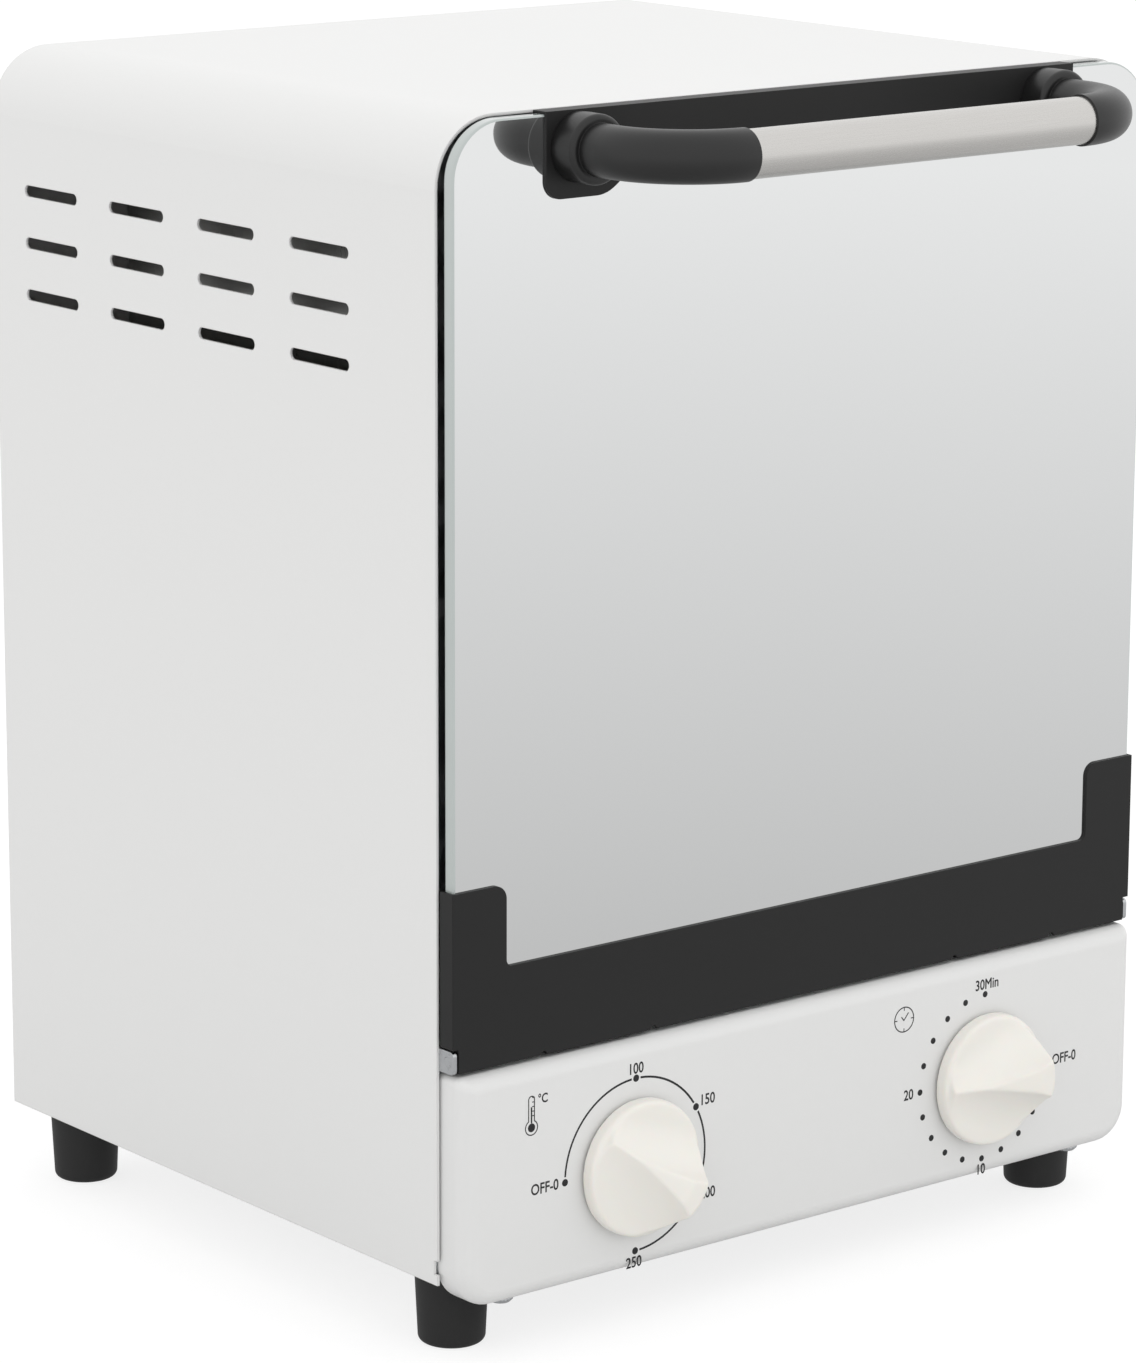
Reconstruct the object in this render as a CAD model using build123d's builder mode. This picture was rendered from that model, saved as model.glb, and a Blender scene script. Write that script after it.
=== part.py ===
from build123d import *
import os
from math import atan2, cos, degrees, radians, sin, sqrt

# Dry heat sterilizer: a bench-top hot-air cabinet with a drop-down mirror-glass door over a control panel.
# Millimetres. +Z up, the front looks towards -Y, X = 0 is the middle plane.
# The origin is on the table, under the middle of the whole outline.

# Cabinet
casing_width = 256.0
casing_height = 320.0
casing_depth = 212.0
casing_corner_radius = 19.0
sheet = 0.8
casing_bottom_flange = 28.0
casing_rear_flange = 10.0

# Louvres in the casing sides
louvre_length = 27.0
louvre_width = 3.3
louvre_columns = 4
louvre_rows = 3
louvre_pitch_y = 43.6
louvre_pitch_z = 15.2
louvre_centre_from_front = 117.0
louvre_centre_from_top = 55.0

# Feet
foot_height = 23.0
foot_top_diameter = 21.0
foot_bottom_diameter = 19.0
foot_edge_radius = 2.0
foot_recess_diameter = 10.0
foot_recess_depth = 14.0
foot_inset_side = 16.0
foot_inset_end = 14.5
foot_screw_diameter = 4.0
foot_hole_radius = 2.2

# Heated chamber
chamber_side_gap = 24.0
chamber_top_gap = 24.0
chamber_rear_gap = 37.0
chamber_corner_radius = 8.0
chamber_floor_above_base = 92.0
chamber_flange = 8.0
frame_recess = 1.6
seal_bead_width = 3.0
seal_bead_gap = 0.4

# Door
door_side_inset = 0.5
door_gap = 0.8
glass_thickness = 4.0
glass_corner_radius = 16.0
glass_side_gap = 0.2
panel_gap = 1.1
rail_height = 27.4
rail_ear_width = 18.5
rail_ear_height = 50.5
rail_channel_depth = 15.0
rail_corner_radius = 4.0
rail_tab_length = 39.0
rail_tab_from_side = 31.5
rail_tab_depth = 4.4
hinge_height = 3.0
hinge_pin_diameter = 3.0
hinge_pin_head_radius = 1.9
hinge_lug_thickness = 1.3
hinge_lug_height = 6.4
hinge_lug_length = 22.0
hinge_lug_corner_radius = 1.3
hinge_lug_clearance = 0.7

# Door handle
handle_standoff = 40.0
handle_below_top = 10.0
handle_post_from_side = 42.5
grip_diameter = 13.3
grip_wall = 1.2
elbow_diameter = 14.4
elbow_bend_radius = 24.0
collar_diameter = 19.0
collar_length = 9.0
spigot_length = 12.0
handle_plate_margin = 11.0
handle_plate_lobe_height = 23.5
handle_plate_lobe_width = 17.0
handle_plate_sweep_width = 17.0
handle_plate_band_height = 16.5
handle_plate_back_height = 18.0
handle_plate_corner_radius = 5.0

# Door springs
lever_inner_radius = 38.0
lever_outer_radius = 46.0
lever_thickness = 1.5
lever_from_side = 12.0
lever_tail_angle = -21.0
lever_hook_angle = -15.0
lever_foot_length = 12.0
lever_foot_thickness = 1.2
spring_diameter = 7.0
spring_wire = 1.2
spring_coils = 16
spring_anchor_from_front = 150.0
spring_anchor_above_base = 98.0

# Control panel
panel_side_inset = 1.4
panel_depth = 10.0
panel_height = 66.5
panel_drop = 6.0
panel_fold_radius = 4.5
panel_bottom_radius = 11.0
panel_top_radius = 2.5
dial_from_side = 60.4
dial_above_base = 24.8

# Knobs
knob_diameter = 39.4
knob_disc_height = 4.3
knob_edge_radius = 1.3
knob_height = 13.5
knob_crown_diameter = 32.6
knob_tail_height = 6.5
knob_slope_length = 30.0
knob_gap = 0.8
knob_scoop_radius = 16.0
knob_scoop_angle = 20.2
knob_scoop_offset = 8.2
knob_hub_diameter = 12.0
knob_wall = 2.2
knob_hollow_depth = 2.6
knob_bore_depth = 8.0
shaft_engagement = 7.0
temperature_pointer_angle = -38.0
timer_pointer_angle = 0.0

# Controls behind the panel
shaft_diameter = 6.0
shaft_flat = 1.5
fit_clearance = 0.05
control_screw_spacing = 24.0
thermostat_width = 30.0
thermostat_height = 26.0
thermostat_depth = 20.0
timer_size = 42.0
timer_depth = 27.0
timer_bell_diameter = 36.0
control_window_side_margin = 15.6
control_window_height = 50.0
control_window_above_base = 3.6

# Shelves
shelf_levels = (36.0, 94.0, 144.0)
shelf_ledge = 8.0
shelf_rail_length = 158.0
rack_rod = 4.0
rack_wire = 2.2
rack_cross_wires = 13
tray_depth = 14.0
tray_rim = 7.0
tray_corner_radius = 12.0

# Heaters
heater_diameter = 6.5
heater_from_wall = 12.0
heater_front = 55.0
heater_rear = 125.0
insulator_diameter = 12.0

# Screws
screw_head_diameter = 7.0
screw_head_height = 1.8
screw_radius = 1.45
screw_hole_radius = 1.5
screw_clearance_radius = 1.8

# Rear panel
rear_panel_margin = 3.0
gland_bore_diameter = 8.0
gland_body_diameter = 14.0
gland_flange_diameter = 20.0
gland_flange_height = 4.0
gland_from_side = 44.0
gland_above_base = 26.0

# Sizes that follow the casing
door_width = casing_width - 2 * door_side_inset
panel_width = casing_width - 2 * panel_side_inset
chamber_width = casing_width - 2 * chamber_side_gap
chamber_height = casing_height - chamber_floor_above_base - chamber_top_gap
chamber_depth = casing_depth - chamber_rear_gap
control_window_width = panel_width - 2 * control_window_side_margin
dial_half_spacing = panel_width / 2 - dial_from_side
lever_offset = casing_width / 2 - lever_from_side
gland_offset = casing_width / 2 - gland_from_side
rail_tab_outer = door_width / 2 - rail_tab_from_side
rail_tab_inner = rail_tab_outer - rail_tab_length
handle_post_half_spacing = door_width / 2 - handle_post_from_side
handle_plate_half_width = handle_post_half_spacing + handle_plate_margin

# Places that follow from the sizes above
base_z = foot_height
top_z = base_z + casing_height
door_back = door_gap
glass_back = door_back + sheet
glass_front = glass_back + glass_thickness
door_front = glass_front + sheet
grip_reach = glass_front + handle_standoff
front_reach = grip_reach + elbow_diameter / 2
rear_reach = sheet + gland_flange_height
front_y = (front_reach - casing_depth - rear_reach) / 2
back_y = front_y + casing_depth
inner_half_width = casing_width / 2 - sheet
inner_top_z = top_z - sheet

panel_bottom_z = base_z - panel_drop
panel_top_z = panel_bottom_z + panel_height
panel_front_y = front_y - panel_depth
panel_back_y = front_y + frame_recess
dial_z = base_z + dial_above_base

frame_y = front_y + frame_recess
frame_back_y = frame_y + sheet
frame_bottom_z = panel_bottom_z + sheet
chamber_floor_z = base_z + chamber_floor_above_base
chamber_roof_z = chamber_floor_z + chamber_height
chamber_mid_z = (chamber_floor_z + chamber_roof_z) / 2
chamber_back_y = frame_back_y + chamber_depth
chamber_wall_x = chamber_width / 2

rail_bottom_z = panel_top_z + panel_gap
hinge_z = rail_bottom_z + hinge_height
hinge_y = front_y - (door_back + door_front) / 2
door_half_thickness = (door_front - door_back) / 2
glass_half_width = door_width / 2 - sheet - glass_side_gap
glass_bottom_z = rail_bottom_z + sheet
glass_top_z = top_z - sheet
grip_y = front_y - grip_reach
grip_z = top_z - handle_below_top

foot_x = casing_width / 2 - foot_inset_side
foot_front_y = front_y + foot_inset_end
foot_rear_y = back_y - foot_inset_end
foot_places = {
    "foot_front_left": (-foot_x, foot_front_y),
    "foot_front_right": (foot_x, foot_front_y),
    "foot_rear_left": (-foot_x, foot_rear_y),
    "foot_rear_right": (foot_x, foot_rear_y),
}

lug_outer_x = inner_half_width
lug_inner_x = lug_outer_x - hinge_lug_thickness
hinge_tab_x = lug_inner_x - 0.5

os.makedirs("parts", exist_ok=True)


def facing_front(y):
    """A sketch plane at depth y: across is X, up is Z, and it extrudes towards the front."""
    return Plane.XZ.offset(-y)


def facing_right(x):
    """A sketch plane at x: across is Y, up is Z, and it extrudes towards +X."""
    return Plane.YZ.offset(x)


def level(z):
    """A sketch plane at height z that extrudes upwards."""
    return Plane.XY.offset(z)


# Outer casing: one sheet bent over the top, with folded flanges below and behind
with BuildPart() as outer_casing:
    with BuildSketch(facing_front(back_y)) as casing_outline:
        with Locations((0, base_z + casing_height / 2)):
            Rectangle(casing_width, casing_height)
        fillet(casing_outline.vertices().group_by(Axis.Y)[-1], casing_corner_radius)
    extrude(amount=casing_depth)
    with BuildSketch(facing_front(back_y)) as casing_inside:
        with Locations((0, base_z + (casing_height - sheet) / 2)):
            Rectangle(2 * inner_half_width, casing_height - sheet)
        fillet(casing_inside.vertices().group_by(Axis.Y)[-1], casing_corner_radius - sheet)
    extrude(amount=casing_depth, mode=Mode.SUBTRACT)
    # Rear flange that the rear panel screws to
    with BuildSketch(facing_front(back_y)) as rear_flange:
        with Locations((0, base_z + (casing_height - sheet) / 2)):
            Rectangle(2 * inner_half_width, casing_height - sheet)
        fillet(rear_flange.vertices().group_by(Axis.Y)[-1], casing_corner_radius - sheet)
        with Locations((0, base_z + (casing_height - sheet - casing_rear_flange) / 2)):
            Rectangle(
                2 * (inner_half_width - casing_rear_flange),
                casing_height - sheet - casing_rear_flange,
                mode=Mode.SUBTRACT,
            )
        rear_screw_spots = [
            (side * (inner_half_width - casing_rear_flange / 2), base_z + height)
            for side in (-1, 1)
            for height in (24.0, casing_height / 2, casing_height - 42.0)
        ]
        rear_screw_spots += [
            (side * casing_width / 4, inner_top_z - casing_rear_flange / 2) for side in (-1, 1)
        ]
        with Locations(*rear_screw_spots):
            Circle(screw_hole_radius, mode=Mode.SUBTRACT)
    extrude(amount=sheet)
    # Bottom flanges that the feet clamp to the base plate
    with BuildSketch(level(base_z)):
        with Locations((0, (front_y + back_y) / 2 + 2.0)):
            with GridLocations(2 * inner_half_width - casing_bottom_flange, 0, 2, 1):
                Rectangle(casing_bottom_flange, casing_depth - 4.0)
        with Locations(*foot_places.values()):
            Circle(foot_hole_radius, mode=Mode.SUBTRACT)
    extrude(amount=sheet)
    # Louvres
    with BuildSketch(facing_right(-casing_width / 2)):
        with Locations((front_y + louvre_centre_from_front, top_z - louvre_centre_from_top)):
            with GridLocations(louvre_pitch_y, louvre_pitch_z, louvre_columns, louvre_rows):
                SlotOverall(louvre_length, louvre_width)
    extrude(amount=casing_width, mode=Mode.SUBTRACT)
    # Bend reliefs where the bottom flanges start
    with BuildSketch(facing_right(-casing_width / 2)):
        with Locations((front_y, base_z + 5.0)):
            Rectangle(3.0, 4.0)
    extrude(amount=casing_width, mode=Mode.SUBTRACT)
outer_casing.part.label = "outer_casing"
export_step(outer_casing.part, "parts/outer_casing.step")

# Base plate: a shallow pan that stands inside the casing flanges
base_front_y = frame_back_y
base_back_y = back_y - sheet
base_rim = 12.0
with BuildPart() as base_plate:
    with BuildSketch(level(base_z + sheet)):
        with Locations((0, (base_front_y + base_back_y) / 2)):
            Rectangle(2 * inner_half_width, base_back_y - base_front_y)
    extrude(amount=base_rim)
    with BuildSketch(level(base_z + 2 * sheet)):
        with Locations((0, (base_front_y + base_back_y) / 2)):
            Rectangle(2 * (inner_half_width - sheet), base_back_y - base_front_y - 2 * sheet)
    extrude(amount=base_rim, mode=Mode.SUBTRACT)
    with BuildSketch(level(base_z)):
        with Locations((0, (base_front_y + base_back_y) / 2)):
            with GridLocations(46.0, 12.0, 3, 7):
                SlotOverall(34.0, 4.0)
        with Locations(*foot_places.values()):
            Circle(foot_hole_radius)
    extrude(amount=3 * sheet, mode=Mode.SUBTRACT)
    # The front rim is open behind the controls
    with BuildSketch(facing_front(base_front_y + sheet)):
        with Locations((0, base_z + 2 * sheet + base_rim / 2)):
            Rectangle(control_window_width, base_rim)
    extrude(amount=sheet, mode=Mode.SUBTRACT)
base_plate.part.label = "base_plate"
export_step(base_plate.part, "parts/base_plate.step")

# Rear panel: a flat sheet screwed on the casing's rear flange, with vent slots and the cable hole
rear_panel_height = casing_height - 2 * rear_panel_margin
with BuildPart() as rear_panel:
    with BuildSketch(facing_front(back_y + sheet)) as rear_outline:
        with Locations((0, base_z + casing_height / 2)):
            Rectangle(casing_width - 2 * rear_panel_margin, rear_panel_height)
        fillet(rear_outline.vertices().group_by(Axis.Y)[-1], casing_corner_radius - rear_panel_margin)
        fillet(rear_outline.vertices().group_by(Axis.Y)[0], 3.0)
        with Locations((0, top_z - 62.0), (0, base_z + 58.0)):
            with GridLocations(52.0, 11.0, 3, 4):
                SlotOverall(38.0, 3.6, mode=Mode.SUBTRACT)
        with Locations((gland_offset, base_z + gland_above_base)):
            Circle(gland_body_diameter / 2 + fit_clearance, mode=Mode.SUBTRACT)
        with Locations(*rear_screw_spots):
            Circle(screw_clearance_radius, mode=Mode.SUBTRACT)
    extrude(amount=sheet)
rear_panel.part.label = "rear_panel"
export_step(rear_panel.part, "parts/rear_panel.step")

# Rear screws: pan heads on the rear panel, shanks through the casing flange
with BuildPart() as rear_screws:
    with BuildSketch(facing_front(back_y + sheet + screw_head_height)):
        with Locations(*rear_screw_spots):
            Circle(screw_head_diameter / 2)
    extrude(amount=screw_head_height)
    chamfer(rear_screws.edges().group_by(Axis.Y)[-1], 0.8)
    with BuildSketch(facing_front(back_y + sheet)):
        with Locations(*rear_screw_spots):
            Circle(screw_radius)
    extrude(amount=6.0)
rear_screws.part.label = "rear_screws"
export_step(rear_screws.part, "parts/rear_screws.step")

# Front frame: the face plate around the chamber mouth, with the seal bead and the window for the controls
control_window_z = base_z + control_window_above_base + control_window_height / 2
lever_slot_z = hinge_z + (lever_inner_radius + lever_outer_radius) / 2
seal_bead_height = frame_recess + glass_back - seal_bead_gap
panel_tab_length = 7.0
panel_tab_width = 14.0
panel_screw_from_side = 20.0
panel_screw_x = casing_width / 2 - panel_screw_from_side
panel_screw_spots = ((-panel_screw_x, front_y - 2.4), (panel_screw_x, front_y - 2.4))
with BuildPart() as front_frame:
    with BuildSketch(facing_front(frame_back_y)) as frame_outline:
        with Locations((0, (frame_bottom_z + inner_top_z) / 2)):
            Rectangle(2 * inner_half_width, inner_top_z - frame_bottom_z)
        fillet(frame_outline.vertices().group_by(Axis.Y)[-1], casing_corner_radius - sheet)
        fillet(frame_outline.vertices().group_by(Axis.Y)[0], panel_bottom_radius + 1.0)
        with Locations((0, chamber_mid_z)):
            RectangleRounded(chamber_width, chamber_height, chamber_corner_radius, mode=Mode.SUBTRACT)
        with Locations((0, control_window_z)):
            RectangleRounded(control_window_width, control_window_height, 5.0, mode=Mode.SUBTRACT)
        with Locations((-lever_offset, lever_slot_z), (lever_offset, lever_slot_z)):
            Rectangle(
                lever_thickness + 2.4, lever_outer_radius - lever_inner_radius + 3.0, mode=Mode.SUBTRACT
            )
        with Locations((-inner_half_width, hinge_z), (inner_half_width, hinge_z)):
            Rectangle(2 * hinge_lug_thickness + 0.6, hinge_lug_height + 0.6, mode=Mode.SUBTRACT)
    extrude(amount=sheet)
    with BuildSketch(facing_front(frame_y)):
        with Locations((0, chamber_mid_z)):
            RectangleRounded(
                chamber_width + 2 * seal_bead_width,
                chamber_height + 2 * seal_bead_width,
                chamber_corner_radius + seal_bead_width,
            )
            RectangleRounded(chamber_width, chamber_height, chamber_corner_radius, mode=Mode.SUBTRACT)
    extrude(amount=seal_bead_height)
    fillet(front_frame.edges().group_by(Axis.Y)[0], 0.9)
    # Side flanges against the inside of the casing
    with BuildSketch(level(hinge_z + 10.0)):
        with Locations((0, frame_back_y + 5.0)):
            with GridLocations(2 * inner_half_width - sheet, 0, 2, 1):
                Rectangle(sheet, 10.0)
    extrude(amount=220.0)
    # Tabs at the bottom that carry the control panel
    with BuildSketch(level(frame_bottom_z)):
        for spot in panel_screw_spots:
            with Locations((spot[0], frame_y - panel_tab_length / 2)):
                Rectangle(panel_tab_width, panel_tab_length)
            with Locations(spot):
                Circle(screw_hole_radius, mode=Mode.SUBTRACT)
    extrude(amount=sheet)
front_frame.part.label = "front_frame"
export_step(front_frame.part, "parts/front_frame.step")

# Control panel: a pressed white pan, its folds soft, its bottom corners well rounded
with BuildPart() as control_panel:
    with BuildSketch(facing_front(panel_back_y)) as panel_outline:
        with Locations((0, (panel_bottom_z + panel_top_z) / 2)):
            Rectangle(panel_width, panel_height)
        fillet(panel_outline.vertices().group_by(Axis.Y)[0], panel_bottom_radius)
        fillet(panel_outline.vertices().group_by(Axis.Y)[-1], panel_top_radius)
    extrude(amount=panel_depth + frame_recess)
    fillet(control_panel.faces().sort_by(Axis.Y)[0].edges(), panel_fold_radius)
    offset(amount=-sheet, openings=control_panel.faces().sort_by(Axis.Y)[-1])
    with BuildSketch(facing_front(front_y)):
        for side in (-1, 1):
            with Locations((side * dial_half_spacing, dial_z)):
                Circle(shaft_diameter / 2 + 1.0)
                with GridLocations(0, control_screw_spacing, 1, 2):
                    Circle(2.1)
    extrude(amount=2 * panel_depth, mode=Mode.SUBTRACT)
    with BuildSketch(level(panel_bottom_z)):
        with Locations(*panel_screw_spots):
            Circle(screw_clearance_radius)
    extrude(amount=sheet, mode=Mode.SUBTRACT)
control_panel.part.label = "control_panel"
export_step(control_panel.part, "parts/control_panel.step")

# Panel screws: from below, through the pan's bottom fold into the frame's tabs
with BuildPart() as panel_screws:
    with BuildSketch(level(panel_bottom_z - screw_head_height)):
        with Locations(*panel_screw_spots):
            Circle(screw_head_diameter / 2)
    extrude(amount=screw_head_height)
    chamfer(panel_screws.edges().group_by(Axis.Z)[0], 0.8)
    with BuildSketch(level(panel_bottom_z)):
        with Locations(*panel_screw_spots):
            Circle(screw_radius)
    extrude(amount=5.0)
panel_screws.part.label = "panel_screws"
export_step(panel_screws.part, "parts/panel_screws.step")

# Chamber: the stainless steel box, spot-welded to the back of the front frame by its flange
with BuildPart() as chamber:
    with BuildSketch(facing_front(chamber_back_y)):
        with Locations((0, chamber_mid_z)):
            RectangleRounded(
                chamber_width + 2 * sheet, chamber_height + 2 * sheet, chamber_corner_radius + sheet
            )
    extrude(amount=chamber_depth)
    with BuildSketch(facing_front(frame_back_y + sheet)):
        with Locations((0, chamber_mid_z)):
            RectangleRounded(
                chamber_width + 2 * chamber_flange,
                chamber_height + 2 * chamber_flange,
                chamber_corner_radius + chamber_flange,
            )
    extrude(amount=sheet)
    with BuildSketch(facing_front(chamber_back_y - sheet)):
        with Locations((0, chamber_mid_z)):
            RectangleRounded(chamber_width, chamber_height, chamber_corner_radius)
    extrude(amount=chamber_depth - sheet, mode=Mode.SUBTRACT)
    # Holes for the heater ends, for the sensor and for the moist air to leave
    with BuildSketch(facing_right(-chamber_wall_x - 2 * sheet)):
        with Locations((frame_back_y, 0)):
            heater_spots = [
                (along, height)
                for along in (heater_front, heater_rear)
                for height in (chamber_floor_z + heater_from_wall, chamber_roof_z - heater_from_wall)
            ]
            with Locations(*heater_spots):
                Circle(insulator_diameter / 2 - 1.5)
    extrude(amount=chamber_width + 4 * sheet, mode=Mode.SUBTRACT)
    with BuildSketch(facing_front(chamber_back_y)):
        with Locations((-dial_half_spacing, chamber_roof_z - 5.0)):
            Circle(2.4)
        with Locations((0, chamber_roof_z - 40.0)):
            with PolarLocations(9.0, 6):
                Circle(2.0)
    extrude(amount=sheet, mode=Mode.SUBTRACT)
chamber.part.label = "chamber"
export_step(chamber.part, "parts/chamber.step")

# Shelf rails: one bent stainless strip with three ledges on each side of the chamber
shelf_rail_front_y = frame_back_y + 6.0
shelf_rail_back_y = shelf_rail_front_y + shelf_rail_length
shelf_zs = [chamber_floor_z + height for height in shelf_levels]
shelf_web_bottom_z = shelf_zs[0] - 10.0
shelf_web_top_z = shelf_zs[-1] + 14.0
guide_gap = 7.0
for side, side_name in ((-1, "left"), (1, "right")):
    with BuildPart() as shelf_rail:
        with BuildSketch(facing_front(shelf_rail_back_y)):
            with Locations((side * (chamber_wall_x - sheet / 2), (shelf_web_bottom_z + shelf_web_top_z) / 2)):
                Rectangle(sheet, shelf_web_top_z - shelf_web_bottom_z)
            for shelf_z in shelf_zs:
                with Locations((side * (chamber_wall_x - shelf_ledge / 2), shelf_z - sheet / 2)):
                    Rectangle(shelf_ledge, sheet)
                with Locations((side * (chamber_wall_x - shelf_ledge / 4), shelf_z + guide_gap)):
                    Rectangle(shelf_ledge / 2, sheet)
        extrude(amount=shelf_rail_length)
    shelf_rail.part.label = f"shelf_rail_{side_name}"
    export_step(shelf_rail.part, f"parts/shelf_rail_{side_name}.step")

# Wire racks: a bent round-rod frame with straight wires welded across it
rack_half_width = chamber_wall_x - 3.0
rack_front_y = shelf_rail_front_y + 2.0
rack_back_y = shelf_rail_back_y - 2.0
rack_corner_radius = 12.0
for rack_name, shelf_z in (("wire_rack_lower", shelf_zs[0]), ("wire_rack_upper", shelf_zs[2])):
    rod_z = shelf_z + rack_rod / 2
    rack_rod_half_span = rack_half_width - rack_rod / 2
    rack_mid_y = (rack_front_y + rack_back_y) / 2
    rack_length = rack_back_y - rack_front_y
    with BuildPart() as wire_rack:
        with BuildLine(level(rod_z)) as rack_path:
            Polyline(
                (-rack_rod_half_span, rack_front_y + rack_rod / 2),
                (rack_rod_half_span, rack_front_y + rack_rod / 2),
                (rack_rod_half_span, rack_back_y - rack_rod / 2),
                (-rack_rod_half_span, rack_back_y - rack_rod / 2),
                close=True,
            )
            fillet(rack_path.vertices(), rack_corner_radius)
        frame_wire = rack_path.wire()
        with BuildSketch(Plane(origin=frame_wire @ 0, z_dir=frame_wire % 0)):
            Circle(rack_rod / 2)
        sweep(path=frame_wire)
        with BuildSketch(facing_front(rack_back_y - rack_rod / 2)):
            with Locations((0, rod_z)):
                with GridLocations(2 * rack_rod_half_span / (rack_cross_wires + 1), 0, rack_cross_wires, 1):
                    Circle(rack_wire / 2)
        extrude(amount=rack_length - rack_rod)
    wire_rack.part.label = rack_name
    export_step(wire_rack.part, f"parts/{rack_name}.step")

# Instrument tray: a pressed stainless pan that hangs by its rim on the middle ledges
tray_rim_z = shelf_zs[1]
tray_half_width = chamber_wall_x - shelf_ledge - 2.0
with BuildPart() as instrument_tray:
    with BuildSketch(level(tray_rim_z - tray_depth)):
        with Locations((0, rack_mid_y)):
            RectangleRounded(2 * tray_half_width, rack_length - 2 * tray_rim, tray_corner_radius)
    extrude(amount=tray_depth + sheet)
    fillet(instrument_tray.faces().sort_by(Axis.Z)[0].edges(), 4.0)
    offset(amount=-sheet, openings=instrument_tray.faces().sort_by(Axis.Z)[-1])
    with BuildSketch(level(tray_rim_z)):
        with Locations((0, rack_mid_y)):
            RectangleRounded(2 * rack_half_width, rack_length, tray_corner_radius)
            RectangleRounded(
                2 * (tray_half_width - sheet),
                rack_length - 2 * tray_rim - 2 * sheet,
                tray_corner_radius - sheet,
                mode=Mode.SUBTRACT,
            )
    extrude(amount=sheet)
instrument_tray.part.label = "instrument_tray"
export_step(instrument_tray.part, "parts/instrument_tray.step")

# Heaters: straight sheathed rods across the chamber, two above and two below, with a pin at each end
heater_end_x = chamber_wall_x + sheet + 9.0
heater_pin_x = heater_end_x + 5.0
heater_places = (
    ("heater_lower_front", heater_front, chamber_floor_z + heater_from_wall),
    ("heater_lower_rear", heater_rear, chamber_floor_z + heater_from_wall),
    ("heater_upper_front", heater_front, chamber_roof_z - heater_from_wall),
    ("heater_upper_rear", heater_rear, chamber_roof_z - heater_from_wall),
)
for heater_name, along, heater_z in heater_places:
    with BuildPart() as heater:
        with BuildSketch(facing_right(-heater_end_x)):
            with Locations((frame_back_y + along, heater_z)):
                Circle(heater_diameter / 2)
        extrude(amount=2 * heater_end_x)
        with BuildSketch(facing_right(-heater_pin_x)):
            with Locations((frame_back_y + along, heater_z)):
                Circle(1.2)
        extrude(amount=2 * heater_pin_x)
    heater.part.label = heater_name
    export_step(heater.part, f"parts/{heater_name}.step")

# Ceramic insulators: flanged bushes that carry the heater ends in the chamber walls
with BuildPart() as heater_insulators:
    for side in (-1, 1):
        for along, heater_z in [(place[1], place[2]) for place in heater_places]:
            bush_centre = (side * (chamber_wall_x + sheet), frame_back_y + along, heater_z)
            with BuildSketch(Plane(origin=bush_centre, z_dir=(side, 0, 0))):
                Circle(insulator_diameter / 2)
                Circle(heater_diameter / 2 + fit_clearance, mode=Mode.SUBTRACT)
            extrude(amount=5.0)
            with BuildSketch(Plane(origin=bush_centre, z_dir=(-side, 0, 0))):
                Circle(insulator_diameter / 2 - 1.5 - fit_clearance)
                Circle(heater_diameter / 2 + fit_clearance, mode=Mode.SUBTRACT)
            extrude(amount=sheet + 1.5)
heater_insulators.part.label = "heater_insulators"
export_step(heater_insulators.part, "parts/heater_insulators.step")

# Thermostat: flange plate, ceramic body and pressure capsule behind the left dial
panel_inner_y = panel_front_y + sheet
with BuildPart() as thermostat_body:
    with BuildSketch(facing_front(panel_inner_y + 1.2)):
        with Locations((-dial_half_spacing, dial_z)):
            RectangleRounded(18.0, control_screw_spacing + 10.0, 4.0)
    extrude(amount=1.2)
    with BuildSketch(facing_front(panel_inner_y + 1.2 + thermostat_depth)):
        with Locations((-dial_half_spacing, dial_z)):
            RectangleRounded(thermostat_width, thermostat_height, 3.0)
    extrude(amount=thermostat_depth)
    with BuildSketch(facing_front(panel_inner_y + 1.2 + thermostat_depth + 6.0)):
        with Locations((-dial_half_spacing, dial_z)):
            Circle(11.0)
    extrude(amount=6.0)
    fillet(thermostat_body.edges().group_by(Axis.Y)[-1], 2.0)
    with BuildSketch(facing_front(panel_inner_y + 12.0)):
        with Locations((-dial_half_spacing, dial_z)):
            Circle(shaft_diameter / 2 + fit_clearance)
            with GridLocations(0, control_screw_spacing, 1, 2):
                Circle(1.6)
    extrude(amount=20.0, mode=Mode.SUBTRACT)
    with BuildSketch(level(dial_z - 4.0)):
        with Locations((-dial_half_spacing, panel_inner_y + 14.0)):
            with GridLocations(thermostat_width + 8.0, 0, 2, 1):
                Rectangle(8.4, 0.8)
    extrude(amount=6.3)
thermostat_body.part.label = "thermostat_body"
export_step(thermostat_body.part, "parts/thermostat_body.step")

# Thermostat sensor: a capillary tube run under and up behind the chamber, and its bulb under the roof
capsule_back_y = panel_inner_y + 1.2 + thermostat_depth + 6.0
capillary_rise_y = chamber_back_y + 16.0
sensor_z = chamber_roof_z - 5.0
bulb_length = 60.0
bulb_back_y = chamber_back_y - 8.0
with BuildPart() as thermostat_sensor:
    with BuildLine(facing_right(-dial_half_spacing)) as capillary_path:
        FilletPolyline(
            (capsule_back_y, dial_z),
            (capillary_rise_y, dial_z),
            (capillary_rise_y, sensor_z),
            (bulb_back_y - 1.0, sensor_z),
            radius=10.0,
        )
    with BuildSketch(facing_front(capsule_back_y)):
        with Locations((-dial_half_spacing, dial_z)):
            Circle(0.9)
    sweep(path=capillary_path.wire())
    with BuildSketch(facing_front(bulb_back_y)):
        with Locations((-dial_half_spacing, sensor_z)):
            Circle(2.1)
    extrude(amount=bulb_length)
thermostat_sensor.part.label = "thermostat_sensor"
export_step(thermostat_sensor.part, "parts/thermostat_sensor.step")

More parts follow.
